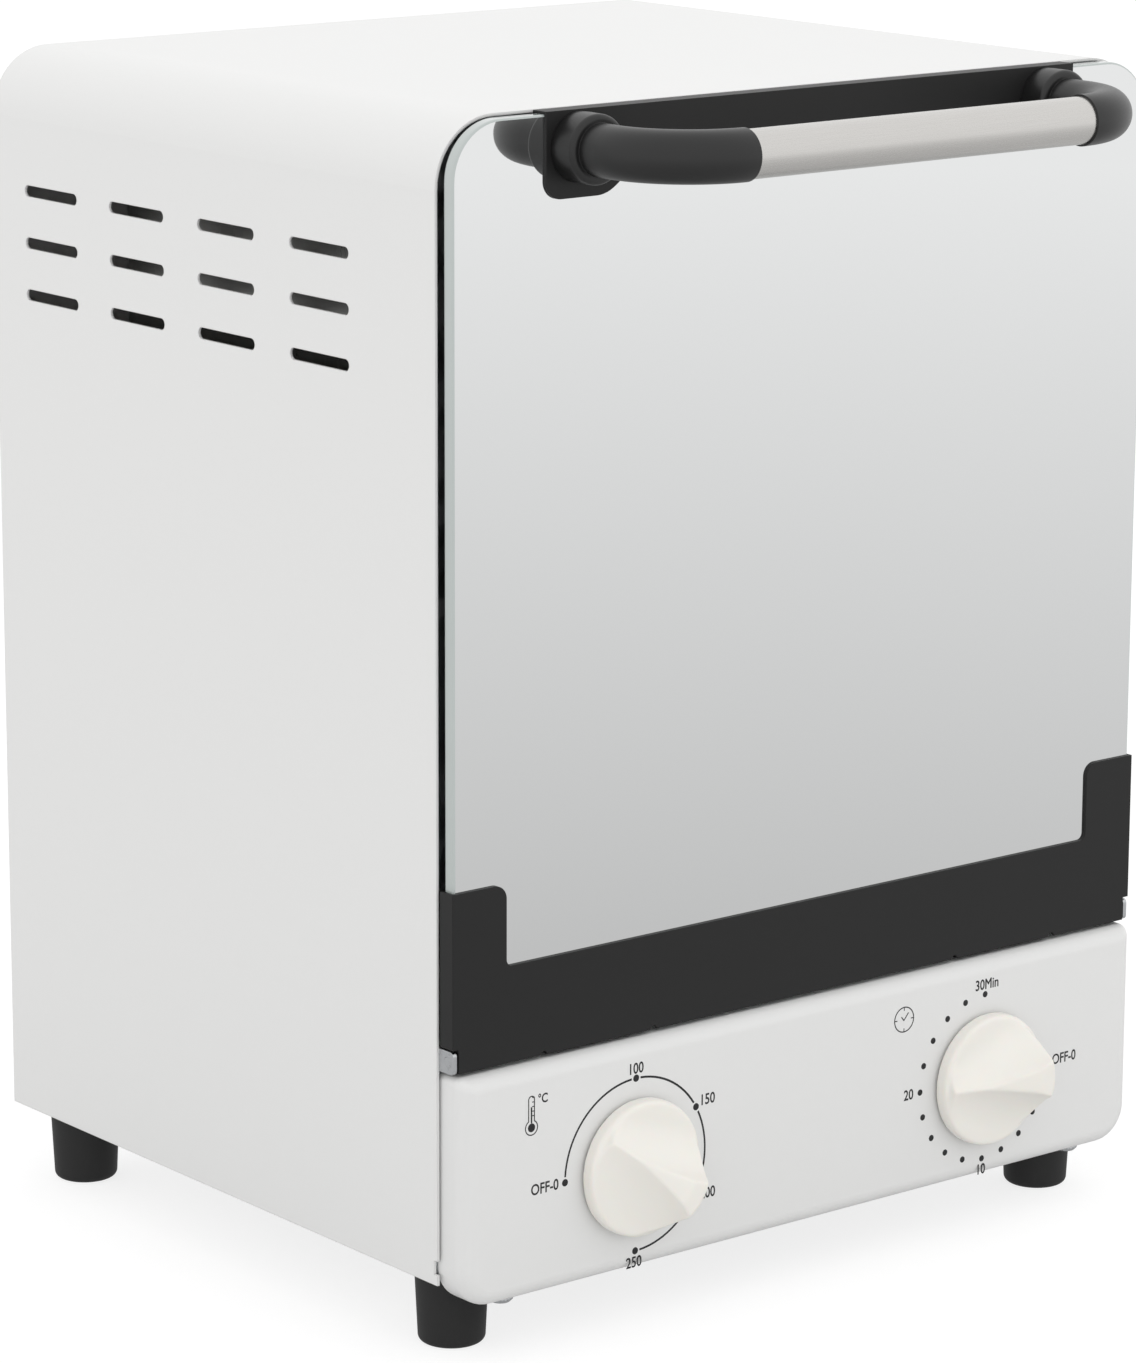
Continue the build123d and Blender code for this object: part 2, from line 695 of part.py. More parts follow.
# Sensor clips: two bent straps that hold the bulb to the chamber roof
with BuildPart() as sensor_clips:
    for clip_y in (bulb_back_y - 12.0, bulb_back_y - bulb_length + 14.0):
        with BuildSketch(facing_front(clip_y)):
            with Locations((-dial_half_spacing, chamber_roof_z - 4.2)):
                RectangleRounded(6.6, 8.4, 2.6)
            with Locations((-dial_half_spacing, chamber_roof_z - 0.4)):
                Rectangle(15.0, 0.8)
            with Locations((-dial_half_spacing, sensor_z)):
                Circle(2.1 + fit_clearance, mode=Mode.SUBTRACT)
        extrude(amount=5.0)
sensor_clips.part.label = "sensor_clips"
export_step(sensor_clips.part, "parts/sensor_clips.step")

# Timer: flange plate and clockwork case behind the right dial, with its bell behind it
with BuildPart() as timer_body:
    with BuildSketch(facing_front(panel_inner_y + 1.2)):
        with Locations((dial_half_spacing, dial_z)):
            RectangleRounded(30.0, control_screw_spacing + 12.0, 4.0)
    extrude(amount=1.2)
    with BuildSketch(facing_front(panel_inner_y + 1.2 + timer_depth)):
        with Locations((dial_half_spacing, dial_z)):
            RectangleRounded(timer_size, timer_size - 2.0, 8.0)
    extrude(amount=timer_depth)
    with BuildSketch(facing_front(panel_inner_y + 12.0)):
        with Locations((dial_half_spacing, dial_z)):
            Circle(shaft_diameter / 2 + fit_clearance)
            with GridLocations(0, control_screw_spacing, 1, 2):
                Circle(1.6)
    extrude(amount=20.0, mode=Mode.SUBTRACT)
    with BuildSketch(level(dial_z - 4.0)):
        with Locations((dial_half_spacing, panel_inner_y + 18.0)):
            with GridLocations(timer_size + 8.0, 0, 2, 1):
                Rectangle(8.4, 0.8)
    extrude(amount=6.3)
timer_body.part.label = "timer_body"
export_step(timer_body.part, "parts/timer_body.step")

timer_back_y = panel_inner_y + 1.2 + timer_depth
bell_height = 9.0
with BuildPart() as timer_bell:
    with BuildSketch(facing_front(timer_back_y + bell_height + 2.0)):
        with Locations((dial_half_spacing, dial_z)):
            Circle(timer_bell_diameter / 2)
    extrude(amount=bell_height)
    fillet(timer_bell.edges().group_by(Axis.Y)[-1], 4.0)
    with BuildSketch(facing_front(timer_back_y + bell_height + 0.8)):
        with Locations((dial_half_spacing, dial_z)):
            Circle(timer_bell_diameter / 2 - 1.2)
    extrude(amount=bell_height, mode=Mode.SUBTRACT)
    with BuildSketch(facing_front(timer_back_y + bell_height + 1.0)):
        with Locations((dial_half_spacing, dial_z)):
            Circle(2.5)
    extrude(amount=bell_height + 1.0)
timer_bell.part.label = "timer_bell"
export_step(timer_bell.part, "parts/timer_bell.step")

# Shafts and knobs: a D-section shaft turns in each control and carries a moulded pointer knob
knob_back_y = panel_front_y - knob_gap
shaft_back_y = panel_inner_y + 11.5
shaft_front_y = knob_back_y - shaft_engagement
knobs = (
    ("temperature_knob", "thermostat_shaft", -dial_half_spacing, temperature_pointer_angle),
    ("timer_knob", "timer_shaft", dial_half_spacing, timer_pointer_angle),
)
for knob_name, shaft_name, knob_x, pointer_angle in knobs:
    pointer_direction = (cos(radians(pointer_angle)), 0, sin(radians(pointer_angle)))
    pointer_side = (sin(radians(pointer_angle)), 0, -cos(radians(pointer_angle)))
    knob_origin = (knob_x, knob_back_y, dial_z)
    knob_axis = Axis(knob_origin, (0, -1, 0))
    face_plane = Plane(origin=knob_origin, x_dir=pointer_direction, z_dir=(0, -1, 0))
    crest_plane = Plane(origin=knob_origin, x_dir=pointer_direction, z_dir=pointer_side)

    with BuildPart() as shaft:
        with BuildSketch(face_plane.offset(knob_back_y - shaft_back_y)):
            Circle(shaft_diameter / 2)
        extrude(amount=shaft_back_y - shaft_front_y)
        with BuildSketch(face_plane.offset(-0.5)):
            with Locations((shaft_diameter - shaft_flat, 0)):
                Rectangle(shaft_diameter, shaft_diameter)
        extrude(amount=12.0, mode=Mode.SUBTRACT)
    shaft.part.label = shaft_name
    export_step(shaft.part, f"parts/{shaft_name}.step")

    scoop_angle = radians(pointer_angle + knob_scoop_angle)
    scoop_plane = Plane(
        origin=face_plane.from_local_coords((-knob_diameter / 2, knob_scoop_offset, 0)),
        x_dir=(-sin(scoop_angle), 0, cos(scoop_angle)),
        z_dir=(cos(scoop_angle), 0, sin(scoop_angle)),
    )

    with BuildPart() as knob:
        # Body: a disc with a rounded rim, then a side that tapers to the crown
        with BuildSketch(crest_plane):
            with BuildLine():
                Polyline(
                    (0, 0),
                    (knob_diameter / 2, 0),
                    (knob_diameter / 2, knob_disc_height - knob_edge_radius),
                )
                RadiusArc(
                    (knob_diameter / 2, knob_disc_height - knob_edge_radius),
                    (knob_diameter / 2 - knob_edge_radius, knob_disc_height),
                    -knob_edge_radius,
                )
                Line(
                    (knob_diameter / 2 - knob_edge_radius, knob_disc_height),
                    (knob_crown_diameter / 2, knob_height - knob_edge_radius),
                )
                RadiusArc(
                    (knob_crown_diameter / 2, knob_height - knob_edge_radius),
                    (knob_crown_diameter / 2 - knob_edge_radius, knob_height),
                    -knob_edge_radius,
                )
                Polyline((knob_crown_diameter / 2 - knob_edge_radius, knob_height), (0, knob_height), (0, 0))
            make_face()
        revolve(axis=knob_axis, revolution_arc=360)
        # Crest that falls from the wide head to the sharp tail
        with BuildSketch(crest_plane):
            with BuildLine():
                Polyline(
                    (-knob_diameter / 2, knob_tail_height),
                    (knob_slope_length - knob_diameter / 2, knob_height),
                    (knob_slope_length - knob_diameter / 2, 2 * knob_height),
                    (-knob_diameter, 2 * knob_height),
                    (-knob_diameter, knob_tail_height),
                    close=True,
                )
            make_face()
        extrude(amount=knob_diameter, both=True, mode=Mode.SUBTRACT)
        # Finger scoops on both sides, concave and closer together at the tail
        with BuildSketch(scoop_plane):
            with Locations((0, knob_disc_height + knob_scoop_radius)):
                Circle(knob_scoop_radius)
            with Locations((0, knob_disc_height)):
                Rectangle(knob_diameter, 3 * knob_height, align=(Align.MIN, Align.MIN))
        scoop = extrude(amount=2 * knob_diameter, both=True, mode=Mode.SUBTRACT)
        mirror(scoop, about=crest_plane, mode=Mode.SUBTRACT)
        # Hollow underside with the hub and its D-bore
        with BuildSketch(face_plane):
            Circle(knob_diameter / 2 - knob_wall)
            Circle(knob_hub_diameter / 2, mode=Mode.SUBTRACT)
        extrude(amount=knob_hollow_depth, mode=Mode.SUBTRACT)
        with BuildSketch(face_plane) as d_bore:
            Circle(shaft_diameter / 2 + fit_clearance)
            with Locations((shaft_diameter - shaft_flat + fit_clearance, 0)):
                Rectangle(shaft_diameter, shaft_diameter + 1.0, mode=Mode.SUBTRACT)
        extrude(amount=knob_bore_depth, mode=Mode.SUBTRACT)
    knob.part.label = knob_name
    export_step(knob.part, f"parts/{knob_name}.step")

# Control screws: two behind each knob, holding the thermostat and the timer to the panel
with BuildPart() as control_screws:
    for side in (-1, 1):
        with BuildSketch(facing_front(panel_front_y)):
            with Locations((side * dial_half_spacing, dial_z)):
                with GridLocations(0, control_screw_spacing, 1, 2):
                    Circle(3.0)
        extrude(amount=1.4)
        with BuildSketch(facing_front(panel_front_y + 7.0)):
            with Locations((side * dial_half_spacing, dial_z)):
                with GridLocations(0, control_screw_spacing, 1, 2):
                    Circle(1.6 - fit_clearance)
        extrude(amount=7.0)
control_screws.part.label = "control_screws"
export_step(control_screws.part, "parts/control_screws.step")

# Terminal block on the base, near the cable gland
terminal_pitch = 10.0
terminal_block_y = back_y - 40.0
with BuildPart() as terminal_block:
    with BuildSketch(level(base_z + 2 * sheet)):
        with Locations((gland_offset, terminal_block_y)):
            RectangleRounded(3 * terminal_pitch + 6.0, 18.0, 2.0)
    extrude(amount=6.0)
    for terminal in (-1, 0, 1):
        with BuildSketch(level(base_z + 2 * sheet + 6.0)):
            with Locations((gland_offset + terminal * terminal_pitch, terminal_block_y)):
                RectangleRounded(terminal_pitch - 2.0, 18.0, 1.5)
        extrude(amount=8.0)
        with BuildSketch(level(base_z + 2 * sheet + 14.0)):
            with Locations((gland_offset + terminal * terminal_pitch, terminal_block_y)):
                with GridLocations(0, 9.0, 1, 2):
                    Circle(1.9)
        extrude(amount=-5.0, mode=Mode.SUBTRACT)
terminal_block.part.label = "terminal_block"
export_step(terminal_block.part, "parts/terminal_block.step")

# Cable gland: a flanged bush in the rear panel and the ring nut that holds it
gland_z = base_z + gland_above_base
rear_face_y = back_y + sheet
with BuildPart() as cable_gland:
    with BuildSketch(facing_front(rear_face_y + gland_flange_height)):
        with Locations((gland_offset, gland_z)):
            Circle(gland_flange_diameter / 2)
    extrude(amount=gland_flange_height)
    chamfer(cable_gland.edges().group_by(Axis.Y)[-1], 1.5)
    with BuildSketch(facing_front(rear_face_y)):
        with Locations((gland_offset, gland_z)):
            Circle(gland_body_diameter / 2)
    extrude(amount=12.0)
    with BuildSketch(facing_front(rear_face_y + gland_flange_height)):
        with Locations((gland_offset, gland_z)):
            Circle(gland_bore_diameter / 2)
    extrude(amount=20.0, mode=Mode.SUBTRACT)
cable_gland.part.label = "cable_gland"
export_step(cable_gland.part, "parts/cable_gland.step")

with BuildPart() as gland_nut:
    with BuildSketch(facing_front(back_y)):
        with Locations((gland_offset, gland_z)):
            RegularPolygon(radius=9.5, side_count=6, major_radius=False)
            Circle(gland_body_diameter / 2 + fit_clearance, mode=Mode.SUBTRACT)
    extrude(amount=5.0)
gland_nut.part.label = "gland_nut"
export_step(gland_nut.part, "parts/gland_nut.step")

# Thermal cut-out: a round limiter with its two-eared flange on the back of the chamber
cutout_z = chamber_roof_z - 90.0
with BuildPart() as thermal_cutout:
    with BuildSketch(facing_front(chamber_back_y + 1.0)):
        with Locations((0, cutout_z)):
            SlotCenterToCenter(24.0, 8.0)
            Circle(8.5)
            with GridLocations(24.0, 0, 2, 1):
                Circle(1.7, mode=Mode.SUBTRACT)
    extrude(amount=1.0)
    with BuildSketch(facing_front(chamber_back_y + 10.0)):
        with Locations((0, cutout_z)):
            Circle(8.0)
    extrude(amount=9.5)
    with BuildSketch(facing_front(chamber_back_y + 17.0)):
        with Locations((0, cutout_z)):
            with GridLocations(8.0, 0, 2, 1):
                Rectangle(0.8, 6.3)
    extrude(amount=8.0)
thermal_cutout.part.label = "thermal_cutout"
export_step(thermal_cutout.part, "parts/thermal_cutout.step")

# Feet: tapered plugs with a rounded lower edge and a recess for the screw
for foot_name, (spot_x, spot_y) in foot_places.items():
    with BuildPart() as foot:
        with BuildSketch(Plane(origin=(spot_x, spot_y, 0), x_dir=(1, 0, 0), z_dir=(0, -1, 0))):
            with BuildLine():
                Polyline(
                    (foot_screw_diameter / 2 + 0.1, foot_recess_depth),
                    (foot_screw_diameter / 2 + 0.1, foot_height),
                    (foot_top_diameter / 2, foot_height),
                    (foot_bottom_diameter / 2, foot_edge_radius),
                )
                ThreePointArc(
                    (foot_bottom_diameter / 2, foot_edge_radius),
                    (
                        foot_bottom_diameter / 2 - foot_edge_radius * (1 - sqrt(0.5)),
                        foot_edge_radius * (1 - sqrt(0.5)),
                    ),
                    (foot_bottom_diameter / 2 - foot_edge_radius, 0),
                )
                Polyline(
                    (foot_bottom_diameter / 2 - foot_edge_radius, 0),
                    (foot_recess_diameter / 2, 0),
                    (foot_recess_diameter / 2, foot_recess_depth),
                    (foot_screw_diameter / 2 + 0.1, foot_recess_depth),
                )
            make_face()
        revolve(axis=Axis((spot_x, spot_y, 0), (0, 0, 1)), revolution_arc=360)
    foot.part.label = foot_name
    export_step(foot.part, f"parts/{foot_name}.step")

# Foot screws: up through the feet, with their heads in the recesses
foot_screw_head_height = 2.6
foot_screw_head_radius = 4.0
foot_nut_height = 3.2
with BuildPart() as foot_screws:
    with BuildSketch(level(foot_recess_depth - foot_screw_head_height)):
        with Locations(*foot_places.values()):
            Circle(foot_screw_head_radius)
    extrude(amount=foot_screw_head_height)
    with BuildSketch(level(foot_recess_depth)):
        with Locations(*foot_places.values()):
            Circle(foot_screw_diameter / 2)
    extrude(amount=foot_height - foot_recess_depth + 2 * sheet + foot_nut_height + 0.8)
foot_screws.part.label = "foot_screws"
export_step(foot_screws.part, "parts/foot_screws.step")

# Foot nuts: on the base plate, over each foot
with BuildPart() as foot_nuts:
    with BuildSketch(level(base_z + 2 * sheet)):
        with Locations(*foot_places.values()):
            RegularPolygon(radius=3.5, side_count=6, major_radius=False)
            Circle(foot_screw_diameter / 2 + fit_clearance, mode=Mode.SUBTRACT)
    extrude(amount=foot_nut_height)
foot_nuts.part.label = "foot_nuts"
export_step(foot_nuts.part, "parts/foot_nuts.step")

# Hinge lugs: zinc-plated ears welded inside the casing, and the shouldered pins riveted in them
for side, side_name in ((-1, "left"), (1, "right")):
    lug_side_plane = Plane(origin=(side * lug_outer_x, 0, 0), x_dir=(0, 1, 0), z_dir=(1, 0, 0))
    with BuildPart() as hinge_lug:
        with BuildSketch(lug_side_plane):
            with Locations((hinge_y - door_half_thickness + 0.2 + hinge_lug_length / 2, hinge_z)):
                RectangleRounded(hinge_lug_length, hinge_lug_height, hinge_lug_corner_radius)
            with Locations((hinge_y, hinge_z)):
                Circle(hinge_pin_diameter / 2 + fit_clearance, mode=Mode.SUBTRACT)
        extrude(amount=-side * hinge_lug_thickness)
    hinge_lug.part.label = f"hinge_lug_{side_name}"
    export_step(hinge_lug.part, f"parts/hinge_lug_{side_name}.step")

    with BuildPart() as hinge_pin:
        with BuildSketch(lug_side_plane):
            with Locations((hinge_y, hinge_z)):
                Circle(hinge_pin_diameter / 2)
        extrude(amount=-side * (lug_outer_x - hinge_tab_x + sheet + 0.2))
        with BuildSketch(lug_side_plane.offset(-side * (lug_outer_x - hinge_tab_x + sheet + 0.2))):
            with Locations((hinge_y, hinge_z)):
                Circle(hinge_pin_head_radius)
        extrude(amount=-side * 1.0)
    hinge_pin.part.label = f"hinge_pin_{side_name}"
    export_step(hinge_pin.part, f"parts/hinge_pin_{side_name}.step")

# Door glass: toughened mirror glass with polished edges and round corners, drilled for the handle
handle_screw_diameter = 4.0
handle_spots = ((-handle_post_half_spacing, grip_z), (handle_post_half_spacing, grip_z))
with BuildPart() as door_glass:
    with BuildSketch(facing_front(front_y - glass_back)):
        with Locations((0, (glass_bottom_z + glass_top_z) / 2)):
            RectangleRounded(2 * glass_half_width, glass_top_z - glass_bottom_z, glass_corner_radius)
        with Locations(*handle_spots):
            Circle(handle_screw_diameter / 2 + 0.8, mode=Mode.SUBTRACT)
    extrude(amount=glass_thickness)
    chamfer(door_glass.faces().sort_by(Axis.Y)[0].outer_wire().edges(), 0.5)
door_glass.part.label = "door_glass"
export_step(door_glass.part, "parts/door_glass.step")

# Door rail: the black folded strip that carries the glass
rail_half_width = door_width / 2
rail_ear_top_z = rail_bottom_z + rail_ear_height
rail_top_z = rail_bottom_z + rail_height
lug_cut_z = hinge_z + hinge_lug_height / 2 + hinge_lug_clearance
rail_front_y = front_y - door_front
rail_back_y = front_y - door_back
with BuildPart() as door_rail:
    with BuildSketch(facing_front(front_y - glass_front)) as rail_face:
        with Locations((0, (rail_bottom_z + rail_ear_top_z) / 2)):
            Rectangle(2 * rail_half_width, rail_ear_height)
        with Locations((0, (rail_top_z + rail_ear_top_z) / 2)):
            Rectangle(
                2 * (rail_half_width - rail_ear_width), rail_ear_top_z - rail_top_z, mode=Mode.SUBTRACT
            )
        inner_top = rail_face.vertices().group_by(Axis.Y)[-1].sort_by(Axis.X)[1:3]
        fillet(inner_top, rail_corner_radius)
        inner_low = rail_face.vertices().filter_by_position(Axis.Y, rail_top_z - 0.1, rail_top_z + 0.1)
        fillet(inner_low, rail_corner_radius / 2)
        # Corners cut back for the hinge lugs
        for side in (-1, 1):
            with Locations((side * rail_half_width, (rail_bottom_z + lug_cut_z) / 2)):
                Rectangle(
                    2 * (rail_half_width - hinge_tab_x), lug_cut_z - rail_bottom_z, mode=Mode.SUBTRACT
                )
    extrude(amount=sheet)
    # Folded sides, and the flanges that close the channel behind the glass
    channel_height = rail_ear_top_z - lug_cut_z
    with BuildSketch(level(lug_cut_z)):
        for side in (-1, 1):
            with Locations((side * (rail_half_width - sheet / 2), (rail_front_y + rail_back_y) / 2)):
                Rectangle(sheet, rail_back_y - rail_front_y)
            with Locations((side * (rail_half_width - rail_channel_depth / 2), rail_back_y - sheet / 2)):
                Rectangle(rail_channel_depth, sheet)
    extrude(amount=channel_height)
    # Tabs folded under the glass
    with BuildSketch(level(rail_bottom_z)):
        for side in (-1, 1):
            with Locations(
                (side * (rail_tab_inner + rail_tab_outer) / 2, rail_front_y + (sheet + rail_tab_depth) / 2)
            ):
                Rectangle(rail_tab_outer - rail_tab_inner, sheet + rail_tab_depth)
    extrude(amount=sheet)
    # Relief notches at the ends of the tabs
    with BuildSketch(facing_front(front_y)):
        for side in (-1, 1):
            with Locations((side * rail_tab_inner, rail_bottom_z), (side * rail_tab_outer, rail_bottom_z)):
                Circle(1.1)
    extrude(amount=door_front, mode=Mode.SUBTRACT)
    # Hinge tabs, rounded about the hinge axis
    for side in (-1, 1):
        with BuildSketch(facing_right(side * hinge_tab_x)):
            with Locations((hinge_y, hinge_z)):
                Circle(door_half_thickness)
            with Locations(((rail_front_y + hinge_y) / 2, (rail_bottom_z + lug_cut_z) / 2)):
                Rectangle(door_half_thickness, lug_cut_z - rail_bottom_z)
            with Locations((hinge_y, hinge_z)):
                Circle(hinge_pin_diameter / 2 + fit_clearance, mode=Mode.SUBTRACT)
        extrude(amount=-side * sheet)
door_rail.part.label = "door_rail"
export_step(door_rail.part, "parts/door_rail.step")

# Handle plate: a folded steel clip over the top edge of the glass, with a lobe behind each handle post
plate_low_z = top_z - handle_plate_lobe_height
plate_band_z = top_z - handle_plate_band_height
lobe_inner_x = handle_plate_half_width - handle_plate_lobe_width
sweep_end_x = lobe_inner_x - handle_plate_sweep_width
with BuildPart() as handle_plate:
    with BuildSketch(facing_front(front_y - glass_front)) as plate_face:
        with BuildLine():
            Polyline(
                (sweep_end_x, plate_band_z),
                (-sweep_end_x, plate_band_z),
            )
            Spline(
                (-sweep_end_x, plate_band_z),
                (-lobe_inner_x, plate_low_z),
                tangents=((-1, 0), (-1, 0)),
            )
            Polyline(
                (-lobe_inner_x, plate_low_z),
                (-handle_plate_half_width, plate_low_z),
                (-handle_plate_half_width, top_z),
                (handle_plate_half_width, top_z),
                (handle_plate_half_width, plate_low_z),
                (lobe_inner_x, plate_low_z),
            )
            Spline(
                (lobe_inner_x, plate_low_z),
                (sweep_end_x, plate_band_z),
                tangents=((-1, 0), (-1, 0)),
            )
        make_face()
        low_corners = plate_face.vertices().group_by(Axis.Y)[0].sort_by(Axis.X)
        fillet([low_corners[0], low_corners[-1]], handle_plate_corner_radius)
        with Locations(*handle_spots):
            Circle(handle_screw_diameter / 2 + 0.3, mode=Mode.SUBTRACT)
    extrude(amount=sheet)
    with BuildSketch(level(top_z - sheet)):
        with Locations((0, (rail_front_y + rail_back_y) / 2)):
            Rectangle(2 * handle_plate_half_width, rail_back_y - rail_front_y)
    extrude(amount=sheet)
    with BuildSketch(facing_front(rail_back_y)) as plate_rear_wall:
        with Locations((0, top_z - handle_plate_back_height / 2)):
            Rectangle(2 * handle_plate_half_width, handle_plate_back_height)
        fillet(plate_rear_wall.vertices().group_by(Axis.Y)[0], 3.0)
        with Locations(*handle_spots):
            Circle(handle_screw_diameter / 2 + 0.3, mode=Mode.SUBTRACT)
    extrude(amount=sheet)
handle_plate.part.label = "handle_plate"
export_step(handle_plate.part, "parts/handle_plate.step")

# Handle ends: a moulded collar and elbow each, with a spigot inside the grip tube
elbow_start_y = grip_y + elbow_bend_radius
elbow_end_x = handle_post_half_spacing - elbow_bend_radius
for side, side_name in ((-1, "left"), (1, "right")):
    post_x = side * handle_post_half_spacing
    with BuildPart() as handle_end:
        with BuildLine(level(grip_z)) as elbow_path:
            Line((post_x, rail_front_y), (post_x, elbow_start_y))
            RadiusArc(
                (post_x, elbow_start_y),
                (side * elbow_end_x, grip_y),
                side * elbow_bend_radius,
            )
        with BuildSketch(facing_front(rail_front_y)):
            with Locations((post_x, grip_z)):
                Circle(elbow_diameter / 2)
        sweep(path=elbow_path.wire())
        with BuildSketch(facing_front(rail_front_y)):
            with Locations((post_x, grip_z)):
                Circle(collar_diameter / 2)
        extrude(amount=collar_length)
        collar_rim = handle_end.edges().filter_by(GeomType.CIRCLE).filter_by(
            lambda edge: abs(edge.radius - collar_diameter / 2) < 0.01
        )
        fillet(collar_rim.sort_by(Axis.Y)[0], 1.5)
        with BuildSketch(facing_right(side * elbow_end_x)):
            with Locations((grip_y, grip_z)):
                Circle(grip_diameter / 2 - grip_wall - fit_clearance)
        extrude(amount=-side * spigot_length)
        with BuildSketch(facing_front(rail_front_y)):
            with Locations((post_x, grip_z)):
                Circle(handle_screw_diameter / 2 + fit_clearance)
        extrude(amount=14.0, mode=Mode.SUBTRACT)
    handle_end.part.label = f"handle_end_{side_name}"
    export_step(handle_end.part, f"parts/handle_end_{side_name}.step")

# Grip: a plain drawn tube between the elbows
with BuildPart() as handle_grip:
    with BuildSketch(facing_right(-elbow_end_x)):
        with Locations((grip_y, grip_z)):
            Circle(grip_diameter / 2)
            Circle(grip_diameter / 2 - grip_wall, mode=Mode.SUBTRACT)
    extrude(amount=2 * elbow_end_x)
handle_grip.part.label = "handle_grip"
export_step(handle_grip.part, "parts/handle_grip.step")

# Handle screws: from behind the glass into the collars
with BuildPart() as handle_screws:
    with BuildSketch(facing_front(rail_back_y + 1.2)):
        with Locations(*handle_spots):
            Circle(screw_head_diameter / 2)
    extrude(amount=1.2)
    with BuildSketch(facing_front(rail_back_y)):
        with Locations(*handle_spots):
            Circle(handle_screw_diameter / 2)
    extrude(amount=door_front - door_back + 12.0)
handle_screws.part.label = "handle_screws"
export_step(handle_screws.part, "parts/handle_screws.step")

# Door levers: arc strips about the hinge axis, riveted behind the rail's ears, that reach into the cabinet
lever_mid_radius = (lever_inner_radius + lever_outer_radius) / 2
lever_start_angle = degrees(atan2(lever_mid_radius, door_half_thickness + lever_foot_thickness / 2))
hook_y = hinge_y + lever_mid_radius * cos(radians(lever_hook_angle))
hook_z = hinge_z + lever_mid_radius * sin(radians(lever_hook_angle))
for side, side_name in ((-1, "left"), (1, "right")):
    lever_plane = facing_right(side * lever_offset - lever_thickness / 2)
    with BuildPart() as door_lever:
        with BuildSketch(lever_plane):
            with BuildLine():
                outer_arc = CenterArc(
                    (hinge_y, hinge_z),
                    lever_outer_radius,
                    lever_tail_angle,
                    lever_start_angle - lever_tail_angle,
                )
                inner_arc = CenterArc(
                    (hinge_y, hinge_z),
                    lever_inner_radius,
                    lever_tail_angle,
                    lever_start_angle - lever_tail_angle,
                )
                Line(outer_arc @ 0, inner_arc @ 0)
                Line(outer_arc @ 1, inner_arc @ 1)
            make_face()
            with Locations((hook_y, hook_z)):
                Circle(1.5, mode=Mode.SUBTRACT)
        extrude(amount=lever_thickness)
        with BuildSketch(facing_front(rail_back_y + lever_foot_thickness)):
            with Locations((side * (lever_offset + lever_foot_length / 2 - lever_thickness), lever_slot_z)):
                Rectangle(lever_foot_length, lever_outer_radius - lever_inner_radius)
        extrude(amount=lever_foot_thickness)
    door_lever.part.label = f"door_lever_{side_name}"
    export_step(door_lever.part, f"parts/door_lever_{side_name}.step")

# Spring anchors: bent tabs welded to the outside of the chamber walls
anchor_y = front_y + spring_anchor_from_front
anchor_z = base_z + spring_anchor_above_base
anchor_wall_x = chamber_wall_x + sheet
for side, side_name in ((-1, "left"), (1, "right")):
    with BuildPart() as spring_anchor:
        with BuildSketch(facing_right(side * anchor_wall_x)):
            with Locations((anchor_y + 7.0, anchor_z + 3.0)):
                RectangleRounded(14.0, 12.0, 1.5)
        extrude(amount=side * 1.2)
        with BuildSketch(facing_front(anchor_y + 1.2)):
            with Locations((side * (anchor_wall_x + lever_offset + 4.0) / 2, anchor_z)):
                Rectangle(lever_offset + 4.0 - anchor_wall_x, 6.0)
            with Locations((side * (lever_offset + lever_thickness / 2 + spring_wire), anchor_z)):
                Circle(1.2, mode=Mode.SUBTRACT)
        extrude(amount=1.2)
    spring_anchor.part.label = f"spring_anchor_{side_name}"
    export_step(spring_anchor.part, f"parts/spring_anchor_{side_name}.step")

# Door springs: close-wound extension springs beside the levers, hooked through their tails and the anchors
spring_run = sqrt((anchor_y - hook_y) ** 2 + (anchor_z - hook_z) ** 2)
spring_direction = ((anchor_y - hook_y) / spring_run, (anchor_z - hook_z) / spring_run)
coil_pitch = 3.2
coil_length = spring_coils * coil_pitch
for side, side_name in ((-1, "left"), (1, "right")):
    spring_x = side * (lever_offset + lever_thickness / 2 + spring_wire)
    spring_axis_plane = Plane(
        origin=(spring_x, hook_y, hook_z),
        x_dir=(0, spring_direction[0], spring_direction[1]),
        z_dir=(1, 0, 0),
    )
    coil_start = (spring_run - coil_length) / 2
    with BuildPart() as door_spring:
        with BuildSketch(spring_axis_plane):
            with BuildLine():
                for coil in range(spring_coils):
                    coil_left = coil_start + coil * coil_pitch
                    Polyline(
                        (coil_left, spring_diameter / 2 - spring_wire / 2),
                        (coil_left + coil_pitch / 2, spring_diameter / 2),
                        (coil_left + coil_pitch, spring_diameter / 2 - spring_wire / 2),
                    )
                Polyline(
                    (coil_start + coil_length, spring_diameter / 2 - spring_wire / 2),
                    (coil_start + coil_length, spring_wire / 2),
                    (spring_run + 3.0, spring_wire / 2),
                    (spring_run + 3.0, 0),
                    (0, 0),
                    (0, spring_wire / 2),
                    (coil_start, spring_wire / 2),
                    (coil_start, spring_diameter / 2 - spring_wire / 2),
                )
            make_face()
        revolve(
            axis=Axis(
                (spring_x, hook_y, hook_z), (0, spring_direction[0], spring_direction[1])
            ),
            revolution_arc=360,
        )
        with BuildSketch(facing_right(spring_x)):
            with Locations((hook_y, hook_z)):
                Circle(spring_wire / 2)
        extrude(amount=-side * (lever_thickness + 2 * spring_wire))
    door_spring.part.label = f"door_spring_{side_name}"
    export_step(door_spring.part, f"parts/door_spring_{side_name}.step")
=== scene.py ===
"""Dry heat sterilizer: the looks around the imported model.

A bench-top hot-air cabinet with a mirror-glass door over a control panel. Metres; +Z up, the front
looks towards -Y, X = 0 is the middle plane.
"""

import logging
import math
from dataclasses import dataclass, field
from enum import Enum
from typing import Callable

import bpy
from mathutils import Matrix, Vector


